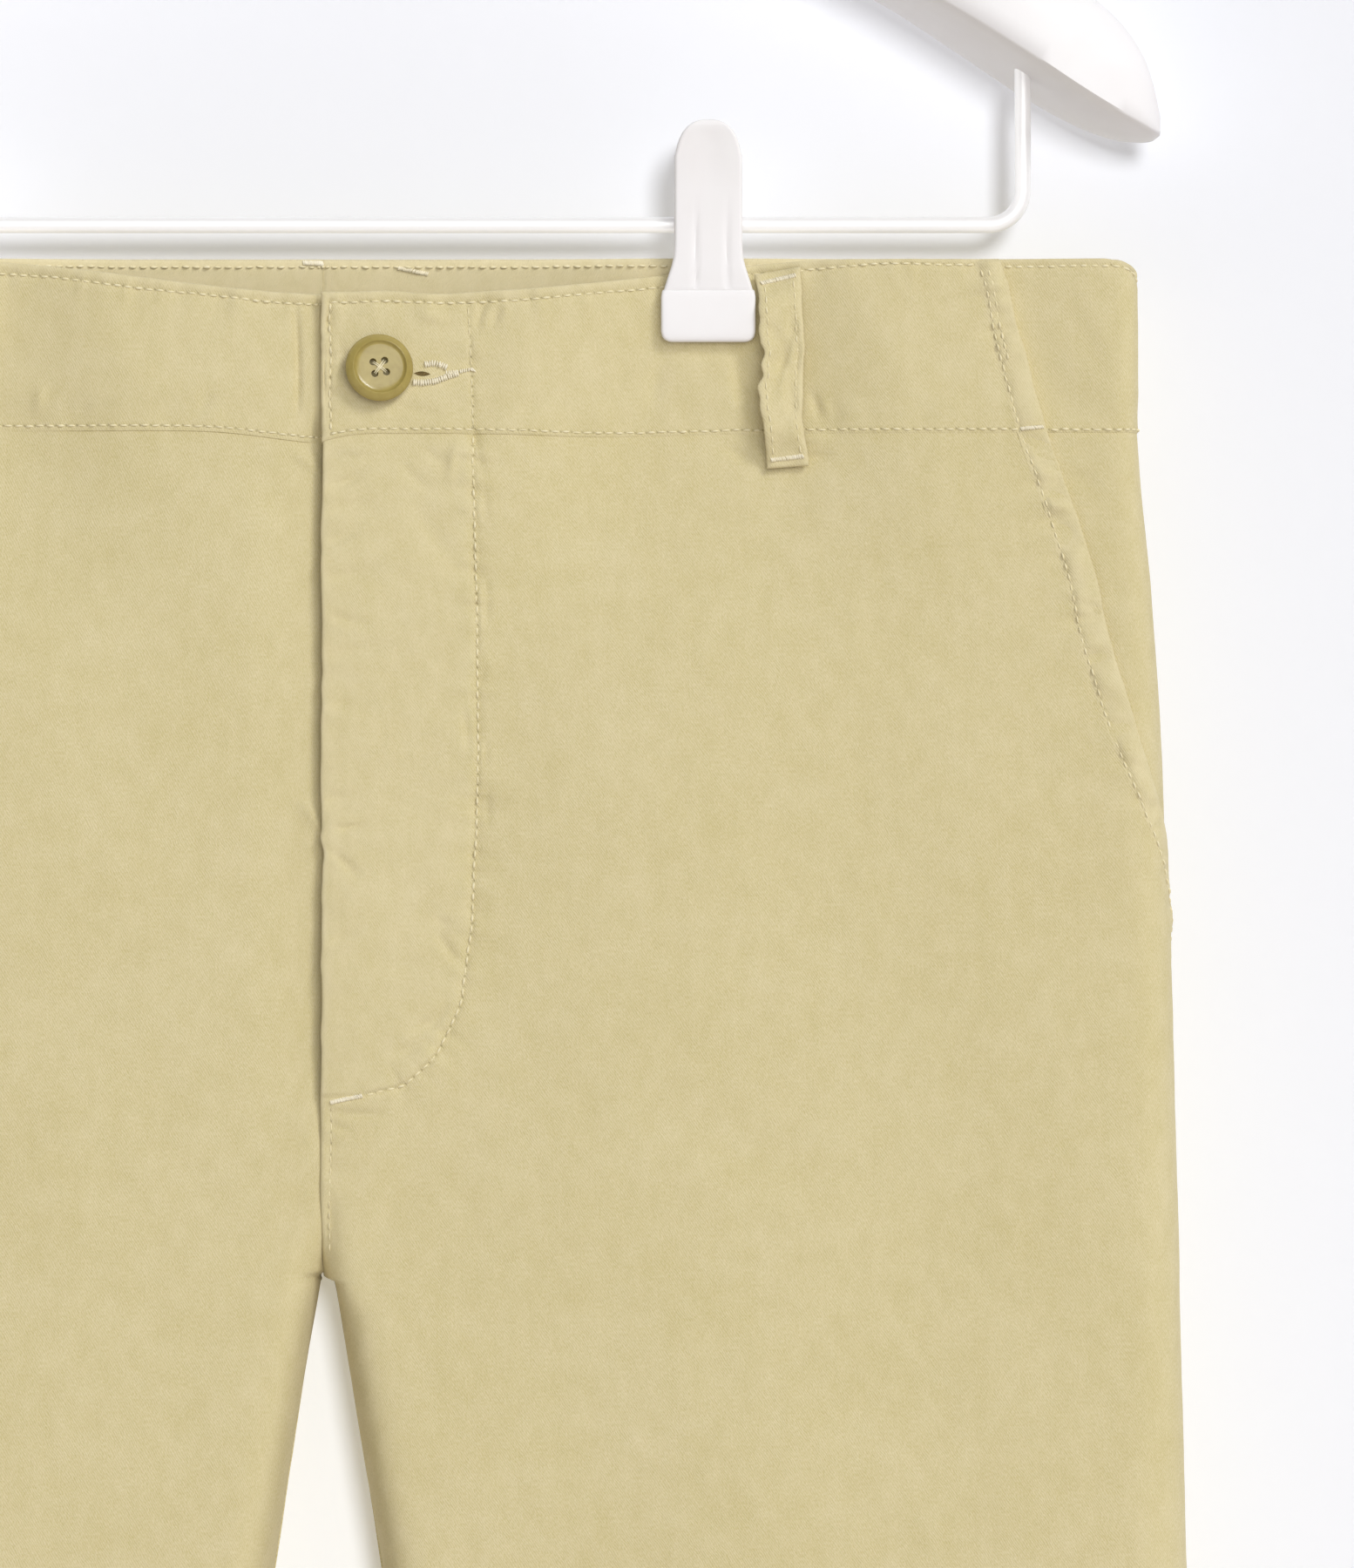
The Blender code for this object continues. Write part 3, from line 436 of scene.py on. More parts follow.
@dataclass(frozen=True)
class CottonTwill(Finish):
    """Washed 3/1 cotton twill: steep fine wales, soft mottling, no shine.

    The real wales are about 0.6 mm apart, which just shows.
    """

    shade: str = "#c6b985"
    worn: str = "#dcd0a9"
    # The colour of the painted shade in the needle holes.
    needle_hole_shade: str = "#8d7c49"
    wale_mm: float = 0.56
    wale_angle: float = 57.0
    slub_mm: float = 0.5
    mottle_mm: float = 5.0
    stitch_mm: float = 2.8

    def look(self, tree: bpy.types.NodeTree) -> dict[str | int, object]:
        """Wales, slubs and mottling on the cloth's own millimetres, and painted shade in the needle holes."""
        place = node(tree, "Attribute", {"attribute_name": "cloth_mm"}).outputs["Vector"]
        sew = node(tree, "Attribute", {"attribute_name": "sewing"}).outputs["Vector"]
        wear = node(tree, "Attribute", {"attribute_name": "wear"}).outputs["Fac"]
        # Each wale climbs from lower right to upper left, broken up by the yarn's slubs.
        lean = (0, 0, math.radians(90 - self.wale_angle))
        across = node(tree, "SeparateXYZ", {0: node(tree, "Mapping", {"Rotation": lean, "Vector": place})})
        wander = node(tree, "TexNoise", {"Scale": 0.35, "Detail": 2.0, "Vector": place})
        bent = node(tree, "Math", {"operation": "MULTIPLY_ADD", 0: wander, 1: 0.9, 2: across})
        phase = node(tree, "Math", {"operation": "MULTIPLY", 0: bent, 1: math.tau / self.wale_mm})
        wale = node(tree, "Math", {"operation": "SINE", 0: phase})
        strength = node(tree, "TexNoise", {"Scale": 0.22, "Detail": 3.0, "Roughness": 0.6, "Vector": place})
        wales = node(tree, "Math", {"operation": "MULTIPLY", 0: wale, 1: strength})
        # Slubs: short thick places in the yarns, longer down the warp.
        warp = node(tree, "Mapping", {"Scale": (1.0, 0.62, 1.0), "Vector": place})
        slub, mottle = (
            node(tree, "TexNoise", {"Scale": 1 / size, "Detail": detail, "Roughness": rough, "Vector": warp})
            for size, detail, rough in ((self.slub_mm, 2.0, 0.7), (self.mottle_mm, 4.0, 0.62))
        )
        # Dye took unevenly over whole hands' breadths when the garment was washed.
        patch = node(tree, "TexNoise", {"Scale": 0.028, "Detail": 2.0, "Vector": place})
        tone = node(tree, "Math", {"operation": "MULTIPLY_ADD", 0: wales, 1: 0.34, 2: 0.50})
        for source, weight in ((slub, 1.60), (mottle, 0.80), (patch, 0.40)):
            centred = node(tree, "Math", {"operation": "SUBTRACT", 0: source, 1: 0.5})
            tone = node(tree, "Math", {"operation": "MULTIPLY_ADD", 0: centred, 1: weight, 2: tone})
        # Needle holes sit between the stitches, and the line of thread draws the cloth in.
        sewn = node(tree, "SeparateXYZ", {0: sew})
        beat = node(tree, "Math", {"operation": "PINGPONG", 0: sewn, 1: 0.5})
        along = node(tree, "Math", {"operation": "MULTIPLY", 0: beat, 1: self.stitch_mm})
        spot = node(tree, "CombineXYZ", {"X": along, "Y": sewn.outputs["Y"]})
        near = node(tree, "VectorMath", {"operation": "LENGTH", 0: spot})
        beside = node(tree, "Math", {"operation": "ABSOLUTE", 0: sewn.outputs["Y"]})
        hole, drawn = (
            node(tree, "MapRange", {"interpolation_type": "SMOOTHSTEP", "From Min": low, "From Max": high,
                                    "To Min": 1.0, "To Max": 0.0, "Value": off})
            for low, high, off in ((0.08, 0.48, near), (0.0, 1.1, beside))
        )
        # Folded edges rub pale in the wash, and the needle holes get painted shade.
        colour = linear(self.shade)
        # The wear attribute also pales the back waistband's inside, as painted light.
        rub_and_light = node(tree, "Math", {"operation": "MULTIPLY", 0: wear, 1: mottle})
        shadow = node(tree, "Math", {"operation": "MULTIPLY", 0: hole, 1: 0.38})
        for code, share in ((self.worn, tone), (self.worn, rub_and_light), (self.needle_hole_shade, shadow)):
            colour = node(tree, "Mix", {"data_type": "RGBA", 6: colour, 7: linear(code), "Factor": share})
        height = node(tree, "Math", {"operation": "MULTIPLY", 0: wales, 1: 0.045})
        for source, weight in ((slub, 0.10), (mottle, 0.10), (hole, -0.22), (drawn, -0.12)):
            height = node(tree, "Math", {"operation": "MULTIPLY_ADD", 0: source, 1: weight, 2: height})
        bump = node(tree, "Bump", {"Strength": 0.8, "Distance": MM, "Height": height})
        return {"Roughness": 0.92, "Specular IOR Level": 0.22, "Sheen Weight": 0.10,
                "Sheen Roughness": 0.6, "Base Color": colour, "Normal": bump}


@dataclass(frozen=True)
class SpunThread(Finish):
    """Spun polyester sewing thread: a little paler and shinier than the cloth."""

    base: str = "#dfd3a6"
    light: str = "#efe6c6"
    twist_mm: float = 0.5

    def look(self, tree: bpy.types.NodeTree) -> dict[str | int, object]:
        """A fine ply twist and a slow change of tone from stitch to stitch."""
        scale = 1 / (self.twist_mm * MM) / 6
        place = node(tree, "TexCoord", {}).outputs["Object"]
        ply = node(tree, "TexWave", {"bands_direction": "DIAGONAL", "Scale": scale, "Distortion": 1.0,
                                     "Vector": place}).outputs["Fac"]
        bump = node(tree, "Bump", {"Strength": 0.5, "Distance": 0.05 * MM, "Height": ply})
        colour = self.clouds(tree, {"Scale": 420.0, "Detail": 2.0}, self.base, self.light)
        return {"Roughness": 0.62, "Specular IOR Level": 0.35, "Base Color": colour, "Normal": bump}


@dataclass(frozen=True)
class PlainCotton(Finish):
    """Plain-woven cotton pocketing, or woven tape: a fine even grid."""

    base: str = "#e2dac6"
    dark: str = "#cfc5ad"
    yarn_mm: float = 0.5

    def look(self, tree: bpy.types.NodeTree) -> dict[str | int, object]:
        """Two crossing sets of yarns, drawn a little coarse so that they show."""
        place = node(tree, "Attribute", {"attribute_name": "cloth_mm"}).outputs["Vector"]
        parts = node(tree, "SeparateXYZ", {0: place})
        waves = []
        for axis in ("X", "Y"):
            phase = {"operation": "MULTIPLY", 0: parts.outputs[axis], 1: math.tau / self.yarn_mm}
            waves.append(node(tree, "Math", {"operation": "SINE", 0: node(tree, "Math", phase)}))
        grid = node(tree, "Math", {"operation": "MULTIPLY", 0: waves[0], 1: waves[1]})
        slub = node(tree, "TexNoise", {"Scale": 0.8, "Detail": 3.0, "Vector": place})
        tone = node(tree, "Math", {"operation": "MULTIPLY_ADD", 0: grid, 1: 0.25, 2: slub})
        ends = {6: linear(self.dark), 7: linear(self.base)}
        colour = node(tree, "Mix", {"data_type": "RGBA", **ends, "Factor": tone})
        bump = node(tree, "Bump", {"Strength": 0.6, "Distance": 0.08 * MM, "Height": tone})
        return {"Roughness": 0.9, "Specular IOR Level": 0.25, "Base Color": colour, "Normal": bump}


@dataclass(frozen=True)
class HornResin(Finish):
    """Cast polyester made to look like horn: clouded, and polished on a wheel."""

    light: str = "#b5a45e"
    dark: str = "#938142"
    cloud_mm: float = 5.0

    def look(self, tree: bpy.types.NodeTree) -> dict[str | int, object]:
        """Drifting clouds of two browns under a clear gloss."""
        noise = {"Scale": 1 / (self.cloud_mm * MM), "Detail": 3.0, "Distortion": 1.4}
        return {"Roughness": 0.26, "Specular IOR Level": 0.42, "Coat Weight": 0.16, "Coat Roughness": 0.08,
                "Base Color": self.clouds(tree, noise, self.dark, self.light),
                "Normal": self.grain(tree, {"Scale": 2500.0, "Detail": 1.0}, 0.12, 0.03)}


@dataclass(frozen=True)
class MouldedPolypropylene(Finish):
    """White polypropylene from a satin mould: faint flow marks, soft highlights."""

    base: str = "#f5f4f4"
    flow: str = "#efecec"
    gloss: float = 0.15
    scatter: float = 0.0
    flow_mm: float = 22.0

    def look(self, tree: bpy.types.NodeTree) -> dict[str | int, object]:
        """Slow flow marks in the white, and a fine satin grain."""
        noise = {"Scale": 1 / (self.flow_mm * MM), "Detail": 2.0, "Distortion": 0.8}
        return {"Roughness": 0.5, "Specular IOR Level": self.gloss, "Subsurface Weight": self.scatter,
                "Subsurface Radius": (1.0, 1.0, 1.0), "Subsurface Scale": 4 * MM,
                "Base Color": self.clouds(tree, noise, self.flow, self.base),
                "Normal": self.grain(tree, {"Scale": 1800.0, "Detail": 2.0}, 0.15, 0.05)}


@dataclass(frozen=True)
class DrawnSteel(Finish):
    """Drawn and plated steel wire: long faint lines from the die, bright highlights."""

    base: str = "#c9cacc"
    dark: str = "#b9babd"
    roughness: float = 0.16
    line_mm: float = 0.25

    def look(self, tree: bpy.types.NodeTree) -> dict[str | int, object]:
        """Metal with lines along the wire in its gloss."""
        noise = {"Scale": 1 / (self.line_mm * MM), "Detail": 2.0}
        gloss = {"To Min": self.roughness, "To Max": self.roughness + 0.14, "Value": self.drift(tree, noise)}
        return {"Metallic": 1.0, "Roughness": node(tree, "MapRange", gloss),
                "Base Color": self.clouds(tree, noise, self.dark, self.base)}


@dataclass(frozen=True)
class WallPaint(Finish):
    """Matt white paint on the studio's wall and floor; the wall is clear from behind."""

    base: str
    dark: str
    one_sided: bool = True
    glow: float = 0.195
    glow_tint: str = "#fffcf6"

    def look(self, tree: bpy.types.NodeTree) -> dict[str | int, object]:
        """Flat white with the faintest roller texture; the wall glows a little."""
        colour = self.clouds(tree, {"Scale": 60.0, "Detail": 2.0}, self.dark, self.base)
        glow = {"Emission Color": linear(self.glow_tint), "Emission Strength": self.glow}
        paint = {"Roughness": 0.95, "Specular IOR Level": 0.0, "Base Color": colour}
        return {**paint, **glow} if self.one_sided else paint

    def surface(self, tree: bpy.types.NodeTree, shader: bpy.types.Node) -> bpy.types.Node:
        """The paint, or nothing where the wall is seen from behind."""
        if not self.one_sided:
            return shader
        back = node(tree, "NewGeometry", {}).outputs["Backfacing"]
        return node(tree, "MixShader", {0: back, 1: shader, 2: node(tree, "BsdfTransparent", {})})


TWILL = CottonTwill("cotton_twill")
THREAD = SpunThread("spun_thread")
TACK_THREAD = SpunThread("spun_thread_pale", base="#e6dbb8", light="#f4eedb")
POCKETING = PlainCotton("cotton_pocketing")
TAPE = PlainCotton("woven_zip_tape", base="#cdbf92", dark="#b8a977")
RESIN = HornResin("horn_resin")
PLASTIC = MouldedPolypropylene("moulded_polypropylene")
COATING = MouldedPolypropylene("coated_wire", base="#e0e0e0", flow="#dddddd", gloss=0.03, scatter=1.0)
STEEL = DrawnSteel("drawn_steel")


# --------------------------------------------------------------- meshes
def ride(obj: bpy.types.Object, slot: str, *nodes: str) -> bpy.types.Object:
    """Fixes a piece to the body, and hides the CAD nodes it stands for."""
    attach(obj, "root")
    if nodes:
        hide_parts(*nodes)
    area = sum(p.area for p in obj.data.polygons)
    LOG.info("%s: %d faces, %.5f m2 a layer", obj.name, len(obj.data.polygons), area / 2)
    return obj


def link_mesh(name: str, mesh: bpy.types.Mesh, finish: Finish, sharp: float) -> bpy.types.Object:
    """Makes a smooth object of a mesh; edges that turn more than this many degrees stay sharp."""
    mesh.shade_smooth()
    mesh.set_sharp_from_angle(angle=math.radians(sharp))
    mesh.materials.clear()
    mesh.materials.append(finish.material())
    obj = bpy.data.objects.new(name, mesh)
    bpy.context.scene.collection.objects.link(obj)
    return obj


def mesh_piece(
    name: str, points: Array, faces: list[Sequence[int]], finish: Finish, sharp: float = 50.0
) -> bpy.types.Object:
    """Makes a smooth object of points and of the point numbers of each face."""
    mesh = bpy.data.meshes.new(name)
    mesh.from_pydata(points.reshape(-1, 3).tolist(), [], faces)
    mesh.update()
    return link_mesh(name, mesh, finish, sharp)


def turn_outwards(mesh: bpy.types.Mesh) -> None:
    """Turns all faces of a closed mesh outwards."""
    made = bmesh.new()
    made.from_mesh(mesh)
    bmesh.ops.recalc_face_normals(made, faces=made.faces)
    made.to_mesh(mesh)
    made.free()


def grid_faces(rows: int, columns: int, wrap: bool = False) -> Array:
    """Four point numbers for each face of a grid, whose rows may close on themselves."""
    number = np.arange(rows * columns).reshape(rows, columns)
    if wrap:
        number = np.concatenate([number, number[:, :1]], axis=1)
    corners = [number[:-1, :-1], number[:-1, 1:], number[1:, 1:], number[1:, :-1]]
    return np.stack(corners, axis=-1).reshape(-1, 4)


def thin_shell(
    name: str, outer: Array, inner: Array, finish: Finish, flip: bool = False, skip: int = 3
) -> tuple[bpy.types.Object, Array]:
    """A closed shell of two grids of points, the hidden one with fewer faces.

    Args:
        name: The piece's name.
        outer: Points of the face that shows, rows by columns.
        inner: Points of the face behind it.
        finish: Its finish.
        flip: Whether the columns run the other way round.
        skip: The inner faces span this many rows and columns.

    Returns:
        The object, and for each of its points the number of the place it came from.
    """
    rows, columns = outer.shape[:2]
    count = rows * columns
    number = np.arange(count).reshape(rows, columns)
    faces = grid_faces(rows, columns).tolist()
    down = sorted({*range(0, rows - 1, skip), rows - 1})
    along = sorted({*range(0, columns - 1, skip), columns - 1})
    for r0, r1 in zip(down, down[1:]):
        for c0, c1 in zip(along, along[1:]):
            top = range(c0, c1 + 1) if r0 == 0 else (c0, c1)
            last = range(r0, r1 + 1) if c1 == columns - 1 else (r0, r1)
            bottom = range(c0, c1 + 1) if r1 == rows - 1 else (c0, c1)
            first = range(r0, r1 + 1) if c0 == 0 else (r0, r1)
            ring = [number[r0, k] for k in top] + [number[k, c1] for k in last][1:]
            ring += [number[r1, k] for k in reversed(bottom)][1:]
            ring += [number[k, c0] for k in reversed(first)][1:-1]
            faces.append([int(n) + count for n in reversed(ring)])
    loop = np.concatenate([number[0, :-1], number[:-1, -1], number[-1, :0:-1], number[:0:-1, 0]])
    following = np.roll(loop, -1)
    faces += np.stack([following, loop, loop + count, following + count], axis=-1).tolist()
    which = np.unique(np.concatenate([np.array(f) for f in faces[(rows - 1) * (columns - 1):]]))
    which = np.concatenate([np.arange(count), which[which >= count]])
    order = np.zeros(2 * count, int)
    order[which] = np.arange(len(which))
    order = order.tolist()
    faces = [[order[n] for n in (reversed(f) if flip else f)] for f in faces]
    points = np.concatenate([outer.reshape(-1, 3), inner.reshape(-1, 3)])[which]
    return mesh_piece(name, points, faces, finish, 70.0), which % count


def set_attributes(obj: bpy.types.Object, **attributes: Array) -> None:
    """Stores values for each point, each either a number or a vector."""
    for name, values in attributes.items():
        kind = "FLOAT" if values.ndim == 1 else "FLOAT_VECTOR"
        layer = obj.data.attributes.new(name, kind, "POINT")
        layer.data.foreach_set("value" if kind == "FLOAT" else "vector", values.astype(np.float32).ravel())


def stacked(*parts: Array) -> Array:
    """Vectors of two or three grids of numbers, one a row."""
    whole = np.broadcast_arrays(*parts, 0.0)[:3]
    return np.stack(whole, axis=-1).reshape(-1, 3)


def loft_piece(
    name: str, rings: Array, finish: Finish, sharp: float = 40.0, closed: bool = False
) -> bpy.types.Object:
    """A solid through rings of points, its ends capped, or joined if closed."""
    count, around = rings.shape[:2]
    faces = grid_faces(count, around, wrap=True).tolist()
    last = (count - 1) * around
    if closed:
        for i in range(around):
            k = (i + 1) % around
            faces.append([last + i, last + k, k, i])
    else:
        faces.append(list(range(around))[::-1])
        faces.append([last + i for i in range(around)])
    obj = mesh_piece(name, rings, faces, finish, sharp)
    turn_outwards(obj.data)
    return obj


def tube_piece(name: str, path: Array, radius: float, finish: Finish, around: int = 24) -> bpy.types.Object:
    """A round wire along a path of points in the hanging plane."""
    ahead = unit(np.gradient(path, axis=0))
    aside = unit(np.cross(ahead, np.array([0.0, 1.0, 0.0])))
    up = np.cross(aside, ahead)
    angles = np.linspace(0, math.tau, around, endpoint=False)[None, :, None]
    rings = path[:, None] + radius * (aside[:, None] * np.cos(angles) + up[:, None] * np.sin(angles))
    return loft_piece(name, rings, finish, 60.0)


# --------------------------------------------------------------- sewing
@dataclass(frozen=True)
class SeamLine:
    """A line of stitches, in a piece's own two coordinates; the cloth beside it puckers."""

    points: tuple[Spot, ...]
    pitch: float = 0.0028
    width: float = 0.00066
    pucker: float = 0.00016
    seed: int = 1

    def marks(self) -> Array:
        """Distance along the line of each of its points."""
        gaps = np.linalg.norm(np.diff(np.array(self.points), axis=0), axis=1)
        return np.concatenate([[0.0], np.cumsum(gaps)])

    def count(self) -> int:
        """How many stitches it has."""
        return max(1, round(self.marks()[-1] / self.pitch))

    def at(self, beat: float) -> Array:
        """Places on the line, this share of the way along each stitch."""
        line, marks, count = np.array(self.points), self.marks(), self.count()
        run = (np.arange(count) + beat) * marks[-1] / count
        return np.stack([np.interp(run, marks, line[:, k]) for k in (0, 1)], axis=-1)

    def near(self, a: Array, b: Array) -> tuple[Array, Array]:
        """Distance along the line, and off it, for each place."""
        line, marks = np.array(self.points), self.marks()
        best, run = np.full(a.shape, 9.0), np.zeros(a.shape)
        for i in range(len(line) - 1):
            gap = line[i + 1] - line[i]
            length = max(np.hypot(*gap), 1e-9)
            t = np.clip(((a - line[i, 0]) * gap[0] + (b - line[i, 1]) * gap[1]) / length**2, 0, 1)
            off = np.hypot(a - line[i, 0] - t * gap[0], b - line[i, 1] - t * gap[1])
            closer = off < best
            best = np.where(closer, off, best)
            run = np.where(closer, marks[i] + t * length, run)
        return run, best


def nearest_stitch(lines: Iterable[SeamLine], a: Array, b: Array) -> tuple[Array, Array]:
    """The stitch number, and the distance off the nearest line, for each place."""
    best, run = np.full(a.shape, 0.05), np.zeros(a.shape)
    for line in lines:
        at, off = line.near(a, b)
        run = np.where(off < best, at / line.marks()[-1] * line.count(), run)
        best = np.minimum(best, off)
    return run, best


@dataclass(frozen=True)
class Crease:
    """A soft trough, or a ridge where its height is above nothing."""

    start: Spot
    end: Spot
    width: float
    height: float
    bend: float = 0.0

    def relief(self, a: Array, b: Array) -> Array:
        """How far it moves each place out."""
        start, end = np.array(self.start), np.array(self.end)
        length = max(np.hypot(*(end - start)), 1e-9)
        ahead = (end - start) / length
        run = (a - start[0]) * ahead[0] + (b - start[1]) * ahead[1]
        t = np.clip(run / length, 0, 1)
        off = (a - start[0]) * -ahead[1] + (b - start[1]) * ahead[0] - self.bend * 4 * t * (1 - t)
        past = np.maximum(0, np.abs(run / length - 0.5) - 0.5) * length
        return self.height * bell(np.hypot(off, past), self.width) * (0.25 + 3 * t * (1 - t))


@dataclass
class Sewing:
    """Stitches gathered for one mesh, each a short arch of thread."""

    name: str
    finish: Finish
    points: list[Array] = field(default_factory=list)
    around: int = 6
    taper: tuple[float, ...] = (0.45, 0.9, 1.0, 0.9, 0.45)

    def add(
        self, place: Place, starts: Array, ends: Array, width: float, height: float, seed: int = 3
    ) -> None:
        """Adds one stitch from each start to each end.

        Args:
            place: Turns the piece's two coordinates and a distance out into points.
            starts: Two coordinates a row.
            ends: Two coordinates a row.
            width: Thread thickness.
            height: How far the middle stands above the cloth.
            seed: Sets the small unevenness.
        """
        count = len(starts)
        rng = np.random.default_rng(seed)
        across = unit(np.stack([-(ends - starts)[:, 1], (ends - starts)[:, 0]], axis=-1))
        jitter = rng.normal(0, 0.05 * MM, (count, 1)) * across
        t = np.linspace(0, 1, len(self.taper))[None, :, None]
        tilt = rng.normal(0, 0.04 * MM, (count, 1))[:, None] * across[:, None] * (t - 0.5) * 2
        flat = starts[:, None] * (1 - t) + ends[:, None] * t + jitter[:, None] + tilt
        size = 1 + rng.normal(0, 0.10, (count, 1))
        out = (height * np.sqrt(np.maximum(0, 1 - (2 * t[..., 0] - 1) ** 2)) - 0.10 * MM) * size
        shifted = flat + across[:, None] * 0.2 * MM
        centre, beside = (place(spots[..., 0], spots[..., 1], out) for spots in (flat, shifted))
        ahead = unit(np.gradient(centre, axis=1))
        aside = unit(beside - centre)
        up = unit(np.cross(ahead, aside))
        angle = np.linspace(0, math.tau, self.around, endpoint=False)[None, None, :, None]
        ring = aside[:, :, None] * np.cos(angle) + up[:, :, None] * np.sin(angle) * 0.85
        taper = np.array(self.taper)[None, :, None, None]
        self.points.append(centre[:, :, None] + ring * taper * (width / 2) * size[:, :, None, None])

    def seam(self, place: Place, line: SeamLine, height: float = 0.00026) -> None:
        """Adds the stitches of a straight-stitched seam, with a gap between them."""
        self.add(place, line.at(0.5 - 0.34), line.at(0.5 + 0.34), line.width, height, line.seed)

    def tack(self, place: Place, start: Spot, end: Spot, width: float, pitch: float = 0.00042) -> None:
        """Adds a bar tack: close zigzag stitches over a short bar."""
        gap = np.array(end) - np.array(start)
        length = np.hypot(*gap)
        count = max(4, round(length / pitch))
        across = np.array([-gap[1], gap[0]]) / length * width / 2
        middle = np.array(start) + gap * (np.arange(count) + 0.5)[:, None] / count
        slant = gap / count * 0.5
        self.add(place, middle - across - slant, middle + across + slant, 0.00050, 0.00042, 11)

    def finish_mesh(self, slot: str = "sewing_thread") -> bpy.types.Object:
        """Joins the stitches into one piece that rides on the body."""
        blocks = np.concatenate(self.points)
        count, stations, around = blocks.shape[:3]
        size = stations * around
        number = np.arange(count) * size
        faces = grid_faces(stations, around, wrap=True)[None] + number[:, None, None]
        faces = faces.reshape(-1, 4).tolist()
        first = np.arange(around)[::-1]
        last = np.arange(around) + (stations - 1) * around
        for start in number:
            faces.append((first + start).tolist())
            faces.append((last + start).tolist())
        obj = mesh_piece(self.name, blocks, faces, self.finish, 80.0)
        turn_outwards(obj.data)
        return ride(obj, slot)


# --------------------------------------------------------------- cloth pieces
def give_sheet(
    obj: bpy.types.Object, slot: str, node_name: str,
) -> bpy.types.Object:
    """Fixes a cloth piece to the body, and hides the solid it stands for.

    Args:
        obj: The piece.
        slot: Its slot in the record; not used.
        node_name: The solid that it stands for.

    Returns:
        The piece.
    """
    return ride(obj, slot, node_name)


def plumped(depth: Array, top: Array, seam: Array | float, along: Array, height: float, seed: int) -> Array:
    """How a waistband is plumped between its two lines of stitching, and ripples along them."""
    share = np.clip((depth - top) / (seam - top), 0, 1.1)
    edges = np.exp(-np.abs(seam - depth) / 0.004) + 0.7 * np.exp(-np.abs(depth - top) / 0.004)
    ripples = 0.00034 * cloth_noise(along / 0.0062, depth / 0.03, seed) * edges
    return height * np.sin(np.clip((share - 0.06) / 0.9, 0, 1) * math.pi) + ripples


def curled(far: Array, roll: float) -> Array:
    """How much an edge is rolled in, by the distance from it."""
    return 1 - np.sqrt(1 - (1 - np.clip(far / roll, 0, 1)) ** 2)


